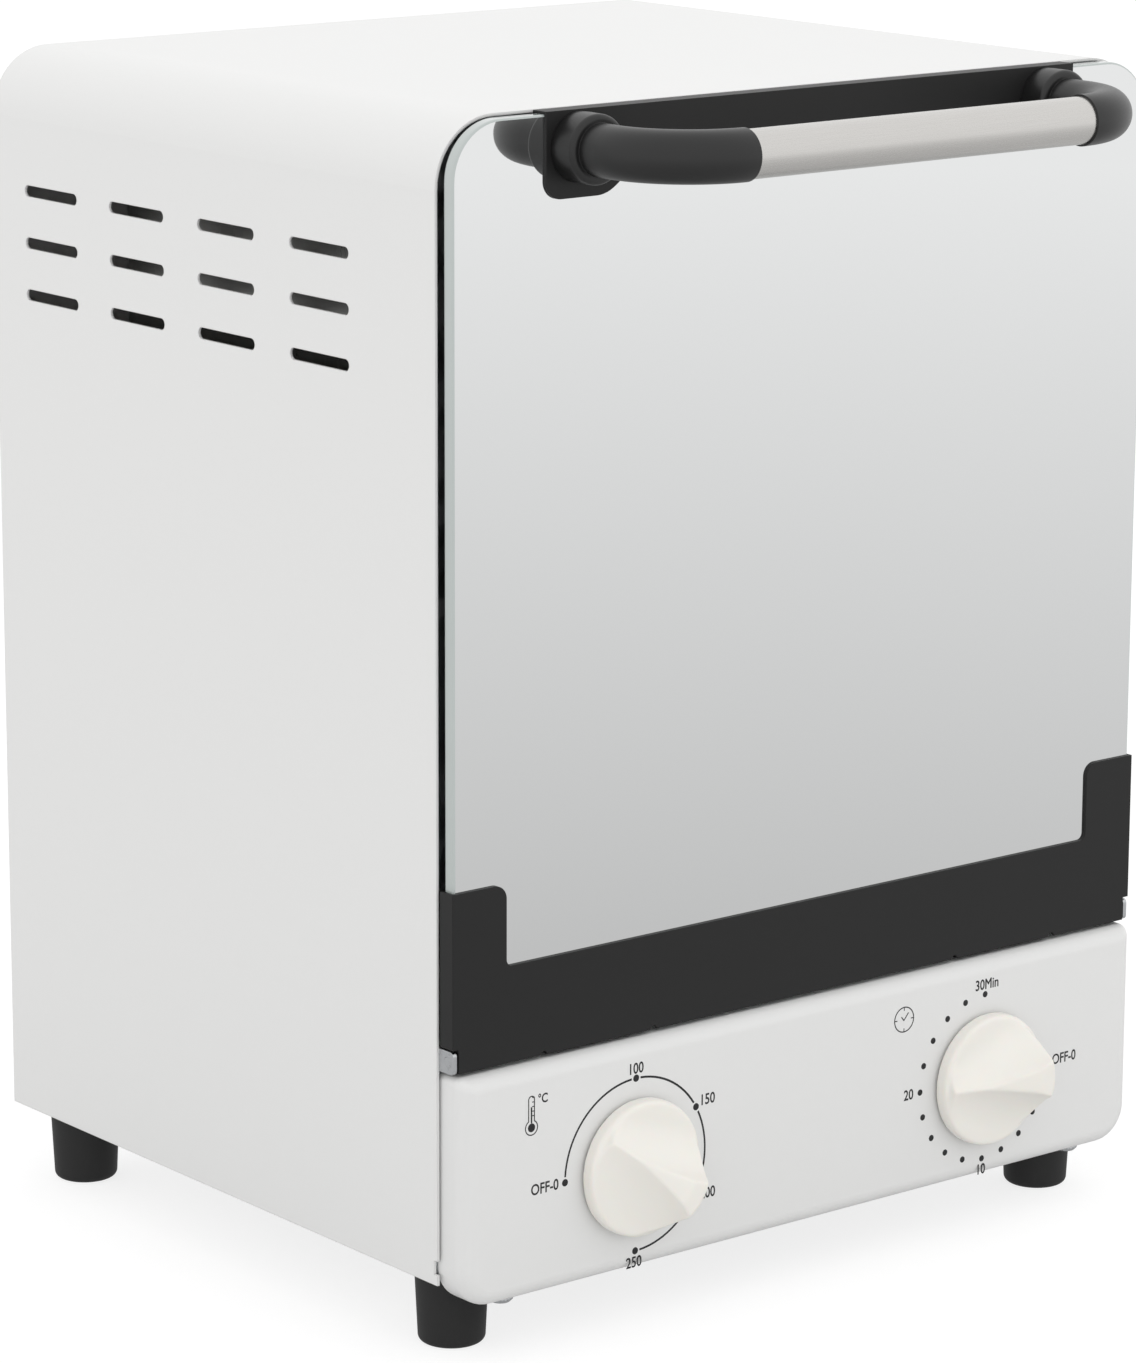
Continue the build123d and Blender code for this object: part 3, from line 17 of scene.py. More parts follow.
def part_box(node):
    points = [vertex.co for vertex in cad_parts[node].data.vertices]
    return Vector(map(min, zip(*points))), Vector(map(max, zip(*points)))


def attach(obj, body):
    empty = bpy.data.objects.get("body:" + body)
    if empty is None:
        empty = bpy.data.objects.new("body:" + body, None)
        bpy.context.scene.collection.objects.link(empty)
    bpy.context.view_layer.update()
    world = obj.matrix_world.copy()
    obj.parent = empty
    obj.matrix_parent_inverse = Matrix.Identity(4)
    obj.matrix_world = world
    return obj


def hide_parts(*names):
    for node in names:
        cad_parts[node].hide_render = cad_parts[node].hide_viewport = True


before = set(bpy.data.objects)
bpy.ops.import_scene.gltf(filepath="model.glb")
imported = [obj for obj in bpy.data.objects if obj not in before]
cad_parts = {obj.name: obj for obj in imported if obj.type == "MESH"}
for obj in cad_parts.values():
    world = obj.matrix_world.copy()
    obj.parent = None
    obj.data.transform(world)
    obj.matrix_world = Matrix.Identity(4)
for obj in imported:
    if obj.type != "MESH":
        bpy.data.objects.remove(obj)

log = logging.getLogger("sterilizer")
MM = 0.001
# How close two vertices lie that are one and the same
SAME_PLACE_MM = 0.001
# A face looks along an axis when its normal's share of that axis is above this
FACING = 0.99
# Turns a flat mark up, to lie on the panel's front
QUARTER_TURN = math.pi / 2
UPRIGHT = (QUARTER_TURN, 0.0, 0.0)
WHITE = (1.0, 1.0, 1.0, 1.0)

Colour = tuple[float, float, float, float]
Point = tuple[float, float, float]
Material = bpy.types.Material
Node = bpy.types.Node
NodeTree = bpy.types.NodeTree
Object = bpy.types.Object

# The sRGB curve: a straight foot up to its knee, and a power curve above
SRGB_KNEE, SRGB_FOOT, SRGB_SHIFT, SRGB_POWER = 0.04045, 12.92, 0.055, 2.4


# Small helpers


def linear(hex_colour: str) -> Colour:
    """Turn an sRGB hex colour into the linear colour that Blender's sockets take.

    Args:
        hex_colour: six hex digits, such as "E4E4E2".

    Returns:
        Red, green, blue and a full alpha, all linear.
    """
    channels = [int(hex_colour[i : i + 2], 16) / 255 for i in (0, 2, 4)]
    red, green, blue = [
        c / SRGB_FOOT if c <= SRGB_KNEE else ((c + SRGB_SHIFT) / (1 + SRGB_SHIFT)) ** SRGB_POWER
        for c in channels
    ]
    return red, green, blue, 1.0


def empty_tree(owner: Material | bpy.types.World) -> NodeTree:
    """Turn on the nodes of a material or a world, and clear them.

    Args:
        owner: the material or world.

    Returns:
        Its node tree, with nothing in it.
    """
    owner.use_nodes = True
    owner.node_tree.nodes.clear()
    return owner.node_tree


def add_node(
    tree: NodeTree, kind: str, settings: dict | None = None, links: dict | None = None
) -> Node:
    """Add a shader node with its settings and its links.

    Args:
        tree: the node tree that gets the node.
        kind: Blender's name of the node type.
        settings: socket names or numbers, or property names, and their values.
        links: socket names or numbers, and the (node, output) that feeds each.

    Returns:
        The new node.
    """
    node = tree.nodes.new(kind)
    for key, value in (settings or {}).items():
        if isinstance(key, int) or key in node.inputs:
            node.inputs[key].default_value = value
        else:
            setattr(node, key, value)
    for key, (source, output) in (links or {}).items():
        tree.links.new(source.outputs[output], node.inputs[key])
    return node


def choose_shader(tree: NodeTree, factor: tuple[Node, str | int], no: Node, yes: Node) -> Node:
    """Add a node that shows one of two shaders.

    Args:
        tree: the node tree that gets the node.
        factor: the (node, output) that decides, by 0 or 1.
        no: the shader at 0.
        yes: the shader at 1.

    Returns:
        The new node.
    """
    return add_node(tree, "ShaderNodeMixShader", {}, {0: factor, 1: (no, 0), 2: (yes, 0)})


def deselect() -> None:
    """Leave edit mode and select nothing."""
    if bpy.context.object is not None and bpy.context.object.mode != "OBJECT":
        bpy.ops.object.mode_set(mode="OBJECT")
    bpy.ops.object.select_all(action="DESELECT")


def pick(piece: Object) -> None:
    """Make a piece the only selected and the active one.

    Args:
        piece: the piece that the next operators work on.
    """
    deselect()
    piece.select_set(True)
    bpy.context.view_layer.objects.active = piece


def settle(piece: Object, name: str) -> Object:
    """Name a piece and put its place into its mesh.

    Args:
        piece: the piece as modelled.
        name: its final name.

    Returns:
        The same piece, with its object at the origin.
    """
    pick(piece)
    if piece.type != "MESH":
        bpy.ops.object.convert(target="MESH")
        piece = bpy.context.object
    bpy.ops.object.transform_apply(location=True, rotation=True, scale=True)
    piece.name = name
    piece.data.name = name
    return piece


def copy_node(node: str, name: str) -> Object:
    """Copy a CAD node into a piece that may be reshaped.

    Args:
        node: the CAD node's name.
        name: the copy's name.

    Returns:
        The copy, with its place in its mesh.
    """
    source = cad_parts[node]
    copy = bpy.data.objects.new(name, source.data.copy())
    bpy.context.scene.collection.objects.link(copy)
    copy.matrix_world = source.matrix_world.copy()
    return settle(copy, name)


def join(pieces: list[Object], name: str) -> Object:
    """Join pieces into one, each settled first.

    Args:
        pieces: the pieces to join.
        name: the joined piece's name.

    Returns:
        The joined piece.
    """
    settled = [settle(piece, f"{name}_{number}") for number, piece in enumerate(pieces)]
    deselect()
    for piece in settled:
        piece.select_set(True)
    bpy.context.view_layer.objects.active = settled[0]
    bpy.ops.object.join()
    return settle(bpy.context.object, name)


def extent(piece: Object) -> tuple[Vector, Vector]:
    """Measure a settled piece.

    Args:
        piece: the piece, with its place in its mesh.

    Returns:
        The lowest and the highest corner of its box.
    """
    places = [vertex.co for vertex in piece.data.vertices]
    low, high = (
        Vector([end(place[axis] for place in places) for axis in range(3)]) for end in (min, max)
    )
    return low, high


def dress(piece: Object, *materials: Material) -> None:
    """Give a piece its materials.

    Args:
        piece: the piece to dress.
        *materials: its materials, in the order of their slots.
    """
    piece.data.materials.clear()
    for material in materials:
        piece.data.materials.append(material)


def choose(piece: Object, part: str, test: Callable[[object], bool]) -> None:
    """Enter edit mode with just those vertices, edges or faces selected that pass a test.

    Args:
        piece: the piece to edit.
        part: "VERT", "EDGE" or "FACE".
        test: takes one vertex, edge or face of the mesh.
    """
    pick(piece)
    bpy.ops.object.mode_set(mode="EDIT")
    bpy.ops.mesh.select_mode(type=part)
    bpy.ops.mesh.select_all(action="DESELECT")
    bpy.ops.object.mode_set(mode="OBJECT")
    mesh = piece.data
    for element in {"VERT": mesh.vertices, "EDGE": mesh.edges, "FACE": mesh.polygons}[part]:
        element.select = test(element)
    bpy.ops.object.mode_set(mode="EDIT")


def merge(piece: Object, distance_mm: float = SAME_PLACE_MM) -> None:
    """Merge the vertices of a piece that lie within a distance of one another.

    Args:
        piece: the piece to clean.
        distance_mm: how far apart they may be.
    """
    pick(piece)
    bpy.ops.object.mode_set(mode="EDIT")
    bpy.ops.mesh.select_mode(type="VERT")
    bpy.ops.mesh.select_all(action="SELECT")
    bpy.ops.mesh.remove_doubles(threshold=distance_mm * MM)
    bpy.ops.object.mode_set(mode="OBJECT")


def fit_modifier(piece: Object, kind: str, **settings: object) -> None:
    """Add a modifier with its settings and apply it.

    Args:
        piece: the piece that it shapes.
        kind: Blender's name of the modifier type.
        **settings: the modifier's properties.
    """
    pick(piece)
    modifier = piece.modifiers.new(kind.lower(), kind)
    for key, value in settings.items():
        setattr(modifier, key, value)
    bpy.ops.object.modifier_apply(modifier=modifier.name)


def smooth_below(piece: Object, angle: float) -> None:
    """Shade a piece smooth, apart from edges that turn by more than an angle in degrees."""
    pick(piece)
    bpy.ops.object.shade_smooth_by_angle(angle=math.radians(angle))


def hand_over(piece: Object, body: str, slot: str, *replaced: str) -> None:
    """Attach a finished piece to its body and hide the CAD nodes that it stands for.

    Args:
        piece: the finished piece.
        body: the CAD body that it rides on.
        slot: the record's material slot; not used.
        *replaced: CAD nodes that it replaces.
    """
    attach(piece, body)
    if replaced:
        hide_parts(*replaced)
    log.info("%s rides on %s, %d faces", piece.name, body, len(piece.data.polygons))


# Finishes


class Grain(Enum):
    """The pattern that a surface gets from how it was made."""

    PEEL = "sprayed or stoved paint: low rounded waves"
    SPARK = "spark-eroded mould: fine even pits"
    DRAWN_X = "drawn or brushed along X"
    DRAWN_Z = "rolled or brushed along Z"
    SPANGLE = "zinc crystals of hot-dip galvanised sheet"
    CLOUD = "slow change over the piece, no fine grain"


# How much fine detail the noise of each grain has; spangle is made of cells instead
GRAIN_DETAIL = {
    Grain.PEEL: 2.0,
    Grain.SPARK: 6.0,
    Grain.DRAWN_X: 4.0,
    Grain.DRAWN_Z: 4.0,
    Grain.CLOUD: 2.0,
}
# A drawn line is this many times as long as it is wide
DRAWN_LENGTH = 60
# How deep light goes under a skin that lets some in
SKIN_MM = 2.0
# Samples of a softened edge
EDGE_SAMPLES = 6
# The colour sockets of Blender's mix node: two inputs and the output
MIX_FIRST, MIX_SECOND, MIX_RESULT = 6, 7, 2


@dataclass(frozen=True)
class Finish:
    """A real material with its surface, and the numbers that give its look.

    Attributes:
        name: the material and how its surface came about.
        colour: its sRGB colour in hex digits.
        roughness: its mean roughness.
        metallic: 1 for a bare metal.
        ior: how strongly a non-metal reflects.
        grain: the pattern of its surface.
        grain_mm: how large the pattern is.
        depth_mm: how deep the pattern is, or 0 for a plane surface.
        tone: how far the pattern changes the colour, as a share.
        gloss_change: how far it changes the roughness, up and down.
        coat: how much of a clear skin lies over it.
        coat_roughness: the skin's roughness.
        edge_mm: how far its edges are softened in the shading.
        soft_light: how much light passes under its surface.
    """

    name: str
    colour: str
    roughness: float
    metallic: float = 0.0
    ior: float = 1.5
    grain: Grain = Grain.CLOUD
    grain_mm: float = 20.0
    depth_mm: float = 0.0
    tone: float = 0.04
    gloss_change: float = 0.05
    coat: float = 0.0
    coat_roughness: float = 0.1
    edge_mm: float = 0.0
    soft_light: float = 0.0

    def build(self) -> Material:
        """Build the material.

        Returns:
            A node material with the grain in its colour, gloss and bump.
        """
        material = bpy.data.materials.new(self.name)
        tree = empty_tree(material)
        channels = linear(self.colour)[:3]
        low = tuple(c * (1 - self.tone) for c in channels) + (1.0,)
        high = tuple(min(1.0, c * (1 + self.tone)) for c in channels) + (1.0,)
        pattern = self._pattern(tree)
        colour = add_node(
            tree,
            "ShaderNodeMix",
            {"data_type": "RGBA", MIX_FIRST: low, MIX_SECOND: high},
            {0: pattern},
        )
        gloss = add_node(
            tree,
            "ShaderNodeMapRange",
            {
                "To Min": max(0.0, self.roughness - self.gloss_change),
                "To Max": min(1.0, self.roughness + self.gloss_change),
            },
            {"Value": pattern},
        )
        shader = add_node(
            tree,
            "ShaderNodeBsdfPrincipled",
            {
                "Metallic": self.metallic,
                "IOR": self.ior,
                "Coat Weight": self.coat,
                "Coat Roughness": self.coat_roughness,
                "Subsurface Weight": self.soft_light,
                "Subsurface Scale": SKIN_MM * MM,
            },
            {"Base Color": (colour, MIX_RESULT), "Roughness": (gloss, "Result")},
        )
        self._relief(tree, shader, pattern)
        add_node(tree, "ShaderNodeOutputMaterial", {}, {"Surface": (shader, "BSDF")})
        return material

    def _pattern(self, tree: NodeTree) -> tuple[Node, str]:
        """Draw the grain.

        Args:
            tree: the material's nodes.

        Returns:
            The node that holds the pattern, and its output.
        """
        scale = 1 / (self.grain_mm * MM)
        place = (add_node(tree, "ShaderNodeTexCoord"), "Object")
        if self.grain is Grain.SPANGLE:
            cells = add_node(tree, "ShaderNodeTexVoronoi", {"Scale": scale}, {"Vector": place})
            split = add_node(tree, "ShaderNodeSeparateColor", {}, {"Color": (cells, "Color")})
            return split, "Red"
        if self.grain in (Grain.DRAWN_X, Grain.DRAWN_Z):
            along = scale / DRAWN_LENGTH
            lines_x, lines_z = (along, scale, scale), (scale, scale, along)
            stretch = lines_x if self.grain is Grain.DRAWN_X else lines_z
            turned = add_node(tree, "ShaderNodeMapping", {"Scale": stretch}, {"Vector": place})
            place, scale = (turned, "Vector"), 1.0
        settings = {"Scale": scale, "Detail": GRAIN_DETAIL[self.grain]}
        return add_node(tree, "ShaderNodeTexNoise", settings, {"Vector": place}), "Fac"

    def _relief(self, tree: NodeTree, shader: Node, pattern: tuple[Node, str]) -> None:
        """Give the surface its relief: a softened edge, and the grain's depth over it.

        Args:
            tree: the material's nodes.
            shader: the surface shader.
            pattern: the (node, output) that holds the grain.
        """
        base = None
        if self.edge_mm:
            soft_edge = {"samples": EDGE_SAMPLES, "Radius": self.edge_mm * MM}
            base = add_node(tree, "ShaderNodeBevel", soft_edge)
        if self.depth_mm:
            links = {"Height": pattern}
            if base is not None:
                links["Normal"] = (base, "Normal")
            base = add_node(tree, "ShaderNodeBump", {"Distance": self.depth_mm * MM}, links)
        if base is not None:
            tree.links.new(base.outputs["Normal"], shader.inputs["Normal"])


# Polyester powder coat on steel sheet: white, satin, with the low waves of a sprayed and baked film
WHITE_POWDER = Finish(
    "powder_coated_steel_white", "E9E9E8", 0.38, grain=Grain.PEEL, grain_mm=1.6, depth_mm=0.006,
    tone=0.006, coat=0.15, coat_roughness=0.25, edge_mm=0.5,
)
# The same film on the pressed panel under the dials, its colour a trace greyer than the casing's as
# painted shade
PANEL_POWDER_PAINTED_SHADE = Finish(
    "powder_coated_steel_panel_painted_shade", "E7E7E6", 0.40, grain=Grain.PEEL, grain_mm=1.6, depth_mm=0.006,
    tone=0.006, coat=0.12, coat_roughness=0.28, edge_mm=0.4,
)
# Stoved black enamel on folded sheet: satin, it shows a soft grey sheen and thin light edges
BLACK_ENAMEL = Finish(
    "stoved_black_enamel_satin", "212121", 0.46, ior=1.36, grain=Grain.PEEL, grain_mm=1.1,
    depth_mm=0.006, tone=0.05, edge_mm=0.35,
)
# Phenolic handle end, moulded: black with a soft gloss, which gives broad highlights on the bend
MOULDED_BLACK = Finish(
    "phenolic_moulded_black", "1B1B1B", 0.36, grain=Grain.SPARK, grain_mm=0.7, depth_mm=0.004,
    tone=0.08, gloss_change=0.06, edge_mm=0.3,
)
# Drawn stainless tube, ground satin along its length
SATIN_TUBE = Finish(
    "stainless_tube_satin_drawn", "D2D0CD", 0.27, metallic=1.0, grain=Grain.DRAWN_X, grain_mm=0.25,
    depth_mm=0.004, tone=0.06, gloss_change=0.07,
)
# Urea moulding: warm white, glossy, a little light passes under its skin
IVORY_UREA = Finish(
    "urea_moulded_warm_white", "F4F1EA", 0.30, grain_mm=9.0, tone=0.012, gloss_change=0.03,
    coat=0.2, coat_roughness=0.2, soft_light=0.12, edge_mm=0.3,
)
# Rubber foot, moulded: near black with a dull sheen
FOOT_RUBBER = Finish(
    "nitrile_rubber_moulded_black", "1D1D1D", 0.55, grain=Grain.SPARK, grain_mm=0.6,
    depth_mm=0.006, tone=0.12, gloss_change=0.08, edge_mm=0.3,
)
# Mild steel, zinc plated: bright light grey
ZINC_PLATE = Finish(
    "zinc_plated_steel", "C9CBCD", 0.30, metallic=1.0, grain_mm=2.5, depth_mm=0.004, tone=0.07,
    gloss_change=0.08, edge_mm=0.2,
)
# Stainless sheet, cold rolled: fine lines run up the walls and a broad soft shine
ROLLED_STAINLESS = Finish(
    "stainless_sheet_cold_rolled", "BDBDBB", 0.30, metallic=1.0, grain=Grain.DRAWN_Z, grain_mm=0.5,
    depth_mm=0.003, tone=0.05, gloss_change=0.07, edge_mm=0.3,
)
# Stainless wire and pan, electropolished
POLISHED_STAINLESS = Finish(
    "stainless_electropolished", "CBCBC9", 0.18, metallic=1.0, grain_mm=6.0, tone=0.03,
)
# Hot-dip galvanised sheet: grey with zinc crystals a few millimetres wide
GALVANISED = Finish(
    "galvanised_steel_sheet", "A9ACAE", 0.42, metallic=1.0, grain=Grain.SPANGLE, grain_mm=6.0,
    tone=0.08, gloss_change=0.10, edge_mm=0.3,
)
# Nickel-alloy heater sheath after many firings: brown grey, blotched by heat
HEATER_SHEATH = Finish(
    "nickel_alloy_sheath_heat_tinted", "6E675F", 0.45, metallic=1.0, grain_mm=14.0, depth_mm=0.01,
    tone=0.22, gloss_change=0.12,
)
# Steatite bush, pressed and fired, without a glaze
STEATITE = Finish(
    "steatite_unglazed", "E3DDD0", 0.75, grain=Grain.SPARK, grain_mm=0.8, depth_mm=0.02, tone=0.05,
    gloss_change=0.08, edge_mm=0.3,
)
# Hard-drawn spring wire, oiled
SPRING_WIRE = Finish(
    "spring_wire_hard_drawn", "8C8C8A", 0.33, metallic=1.0, grain_mm=1.5, depth_mm=0.003,
    tone=0.12, gloss_change=0.08,
)
# Copper capillary, drawn and a little dulled
DRAWN_COPPER = Finish(
    "copper_capillary_drawn", "C58A6B", 0.36, metallic=1.0, grain_mm=8.0, tone=0.12,
    gloss_change=0.1,
)
# Phenolic control housings: off-white moulding, matte
CONTROL_MOULDING = Finish(
    "phenolic_moulded_off_white", "D9D4C6", 0.5, grain=Grain.SPARK, grain_mm=0.8, depth_mm=0.006,
    tone=0.03, gloss_change=0.06, edge_mm=0.3,
)
# Nylon gland, moulded black
NYLON_BLACK = Finish(
    "nylon_moulded_black", "202020", 0.48, grain=Grain.SPARK, grain_mm=0.8, depth_mm=0.006,
    tone=0.1, gloss_change=0.06, edge_mm=0.3,
)
# Silvered float glass seen from its front: a true mirror, greyed a little by the glass
SILVERED_GLASS = Finish(
    "float_glass_silvered", "E6E7E7", 0.02, metallic=1.0, grain_mm=90.0, tone=0.004,
    gloss_change=0.005,
)
# Polished edge of the same glass: pale grey green, bright
GLASS_EDGE = Finish(
    "float_glass_polished_edge", "B9C0BE", 0.12, ior=1.52, grain_mm=30.0, tone=0.05,
    gloss_change=0.03, coat=1.0, coat_roughness=0.04,
)
# Screen-printing ink on the panel: matte black with a slightly uneven lay
PRINT_INK = Finish(
    "screen_print_ink_black", "1C1C1E", 0.55, grain_mm=0.9, tone=0.15,
)

# The finish of every CAD node that is shown as it is
NODE_FINISHES: dict[Finish, tuple[str, ...]] = {
    WHITE_POWDER: ("outer_casing", "rear_panel"),
    # The panel's finish is the casing's film with painted shade: a trace greyer colour
    PANEL_POWDER_PAINTED_SHADE: ("control_panel",),
    BLACK_ENAMEL: ("door_rail", "handle_plate"),
    MOULDED_BLACK: ("handle_end_left", "handle_end_right"),
    SATIN_TUBE: ("handle_grip",),
    FOOT_RUBBER: ("foot_front_left", "foot_front_right", "foot_rear_left", "foot_rear_right"),
    ZINC_PLATE: (
        "hinge_lug_left", "hinge_lug_right", "hinge_pin_left", "hinge_pin_right",
        "door_lever_left", "door_lever_right", "spring_anchor_left", "spring_anchor_right",
        "foot_screws", "foot_nuts", "control_screws", "thermostat_shaft", "timer_shaft",
        "timer_bell", "thermal_cutout",
    ),
    ROLLED_STAINLESS: ("chamber", "shelf_rail_left", "shelf_rail_right"),
    POLISHED_STAINLESS: ("wire_rack_lower", "wire_rack_upper", "instrument_tray", "sensor_clips"),
    GALVANISED: ("base_plate", "front_frame"),
    HEATER_SHEATH: (
        "heater_lower_front", "heater_lower_rear", "heater_upper_front", "heater_upper_rear",
    ),
    STEATITE: ("heater_insulators",),
    SPRING_WIRE: ("door_spring_left", "door_spring_right"),
    DRAWN_COPPER: ("thermostat_sensor",),
    CONTROL_MOULDING: ("thermostat_body", "timer_body", "terminal_block"),
    NYLON_BLACK: ("cable_gland", "gland_nut"),
}


# The camera and the studio


@dataclass
class PhotoCamera:
    """The camera at the photograph's place and viewing angle, with its angles in degrees."""

    azimuth: float = -38.825
    elevation: float = 13.080
    roll: float = 0.197
    lens_mm: float = 137.6
    sensor_mm: float = 36.0
    nearest: float = 0.05
    farthest: float = 60.0
    place: Point = (-0.94751, -1.15641, 0.50686)

    def build(self) -> None:
        """Set the camera up and make it the scene's own."""
        deselect()
        bpy.ops.object.camera_add()
        camera = bpy.context.object
        camera.name = "photo_camera"
        turn = (
            Matrix.Rotation(math.radians(self.azimuth), 4, "Z")
            @ Matrix.Rotation(math.radians(90 - self.elevation), 4, "X")
            @ Matrix.Rotation(math.radians(self.roll), 4, "Z")
        )
        camera.matrix_world = Matrix.Translation(self.place) @ turn
        camera.data.lens = self.lens_mm
        camera.data.sensor_width = self.sensor_mm
        camera.data.clip_start = self.nearest
        camera.data.clip_end = self.farthest
        bpy.context.scene.camera = camera


@dataclass(frozen=True)
class SoftBox:
    """A square lamp that looks at the middle of the object, and that mirrors don't show.

    Attributes:
        name: the lamp's name.
        place: where it hangs.
        side: its width and height.
        power: its power in watts.
        target: the middle of the object.
    """

    name: str
    place: Point
    side: float
    power: float
    target: Point = (0.0, 0.0, 0.17)

    def build(self) -> None:
        """Hang the lamp and turn it to its target."""
        deselect()
        bpy.ops.object.light_add(type="AREA", location=self.place)
        lamp = bpy.context.object
        lamp.name = self.name
        lamp.data.shape = "SQUARE"
        lamp.data.size = self.side
        lamp.data.energy = self.power
        lamp.visible_glossy = False
        aim = Vector(self.target) - Vector(self.place)
        lamp.rotation_euler = aim.to_track_quat("-Z", "Y").to_euler()


@dataclass
class Studio:
    """A plain pale floor, and plain soft light from all round with a little more from above.

    Attributes:
        floor_size: the floor's side.
        floor_colour: what the floor gives back to the object.
        floor_shade: what takes the object's shadow where the camera sees the floor.
        floor_glow: what lifts the seen floor to white.
        floor_fade: the power of the distance by which the mirrored floor gets lighter.
        floor_level: how light the mirrored floor is at one metre from the object's middle.
        ambient: the strength of the light from all round.
        lamps: the two soft boxes.
    """

    floor_size: float = 14.0
    floor_colour: str = "E8E8E8"
    floor_shade: str = "8A8A8A"
    floor_glow: float = 0.80
    floor_fade: float = 0.24
    floor_level: float = 0.80
    ambient: float = 1.02
    lamps: tuple[SoftBox, ...] = (
        SoftBox("overhead_softbox", place=(0.5, -0.6, 2.1), side=2.2, power=2.5),
        SoftBox("front_softbox", place=(0.9, -2.2, 0.9), side=1.6, power=1.0),
    )

    def build(self) -> None:
        """Build the floor, the world and the lamps."""
        self._floor()
        self._world()
        for lamp in self.lamps:
            lamp.build()

    def _floor(self) -> None:
        """Lay the floor."""
        deselect()
        bpy.ops.mesh.primitive_plane_add(size=self.floor_size, location=(0, 0, 0))
        floor = settle(bpy.context.object, "studio_floor")
        dress(floor, self._floor_finish())

    def _floor_finish(self) -> Material:
        """Mix the floor's finish, which lights the object as a matte pale floor does.

        Returns:
            A material that the camera sees as white with soft shadows, and a mirror as a plain
            grey that gets lighter with the distance from the object.
        """
        material = bpy.data.materials.new("studio_floor_matte_white")
        tree = empty_tree(material)
        path = add_node(tree, "ShaderNodeLightPath")
        place = add_node(tree, "ShaderNodeTexCoord")
        matte = add_node(tree, "ShaderNodeBsdfDiffuse", {"Color": linear(self.floor_colour)})
        shade = add_node(tree, "ShaderNodeBsdfDiffuse", {"Color": linear(self.floor_shade)})
        glow = add_node(
            tree, "ShaderNodeEmission", {"Color": WHITE, "Strength": self.floor_glow}
        )
        seen = add_node(tree, "ShaderNodeAddShader", {}, {0: (shade, 0), 1: (glow, 0)})
        reach = add_node(
            tree, "ShaderNodeVectorMath", {"operation": "LENGTH"}, {0: (place, "Object")}
        )
        fade = add_node(
            tree,
            "ShaderNodeMath",
            {"operation": "POWER", 1: self.floor_fade},
            {0: (reach, "Value")},
        )
        level = add_node(
            tree,
            "ShaderNodeMath",
            {"operation": "MULTIPLY", "use_clamp": True, 1: self.floor_level},
            {0: (fade, 0)},
        )
        mirrored = add_node(tree, "ShaderNodeEmission", {"Color": WHITE}, {"Strength": (level, 0)})
        direct = choose_shader(tree, (path, "Is Camera Ray"), matte, seen)
        surface = choose_shader(tree, (path, "Is Glossy Ray"), direct, mirrored)
        add_node(tree, "ShaderNodeOutputMaterial", {}, {"Surface": (surface, 0)})
        return material

    def _world(self) -> None:
        """Set the world: white where it is seen or mirrored, and a plain soft light elsewhere."""
        world = bpy.data.worlds.new("studio_world")
        bpy.context.scene.world = world
        tree = empty_tree(world)
        path = add_node(tree, "ShaderNodeLightPath")
        soft = add_node(
            tree, "ShaderNodeBackground", {"Color": WHITE, "Strength": self.ambient}
        )
        white = add_node(tree, "ShaderNodeBackground", {"Color": WHITE, "Strength": 1.0})
        seen = (path, "Is Camera Ray")
        for ray in ("Is Glossy Ray", "Is Transmission Ray"):
            links = {0: seen, 1: (path, ray)}
            seen = (add_node(tree, "ShaderNodeMath", {"operation": "MAXIMUM"}, links), 0)
        background = choose_shader(tree, seen, soft, white)
        add_node(tree, "ShaderNodeOutputWorld", {}, {"Surface": (background, 0)})


# The door's glass


@dataclass
class DoorGlass:
    """The mirror pane: silvered face, ground bevel, polished edge and round corners."""

    corner_mm: float = 16.0
    corner_segments: int = 14
    bevel_mm: float = 0.6
    bevel_segments: int = 2
    sharp_angle: float = 12.0

    def build(self) -> None:
        """Model the pane in its CAD box and dress its face and edge."""
        low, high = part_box("door_glass")
        deselect()
        bpy.ops.mesh.primitive_cube_add(size=1.0, location=(low + high) / 2, scale=high - low)
        pane = settle(bpy.context.object, "door_glass_pane")
        corners = pane.data.vertices
        choose(pane, "EDGE", lambda edge: self._runs_back(*[corners[i].co for i in edge.vertices]))
        bpy.ops.mesh.bevel(
            offset=self.corner_mm * MM, segments=self.corner_segments, affect="EDGES"
        )
        choose(pane, "FACE", self._is_flat)
        bpy.ops.mesh.region_to_loop()
        bpy.ops.mesh.bevel(offset=self.bevel_mm * MM, segments=self.bevel_segments, affect="EDGES")
        bpy.ops.object.mode_set(mode="OBJECT")
        dress(pane, SILVERED_GLASS.build(), GLASS_EDGE.build())
        for face in pane.data.polygons:
            face.material_index = 0 if self._is_flat(face) else 1
        smooth_below(pane, self.sharp_angle)
        hand_over(pane, "door", "mirror_glass", "door_glass")

    @staticmethod
    def _runs_back(start: Vector, end: Vector) -> bool:
        """Tell whether an edge runs through the pane's thickness."""
        return abs(start.y - end.y) > MM

    @staticmethod
    def _is_flat(face: bpy.types.MeshPolygon) -> bool:
        """Tell whether a face is the pane's front or back, and not its edge."""
        return abs(face.normal.y) > FACING


# The knobs


@dataclass
class Knobs:
    """The two urea pointer knobs, with the soft edges and blended hollows of a moulding."""

    cell_mm: float = 0.32
    smooth_share: float = 0.5
    smooth_rounds: int = 22

    def build(self) -> None:
        """Soften a copy of each CAD knob and let it turn with its dial."""
        urea = IVORY_UREA.build()
        for name, body in (("temperature_knob", "temperature_dial"), ("timer_knob", "timer_dial")):
            knob = copy_node(name, f"{name}_moulding")
            fit_modifier(knob, "REMESH", mode="VOXEL", voxel_size=self.cell_mm * MM)
            fit_modifier(knob, "SMOOTH", factor=self.smooth_share, iterations=self.smooth_rounds)
            bpy.ops.object.shade_smooth()
            dress(knob, urea)
            hand_over(knob, body, "ivory_plastic", name)


# The screws


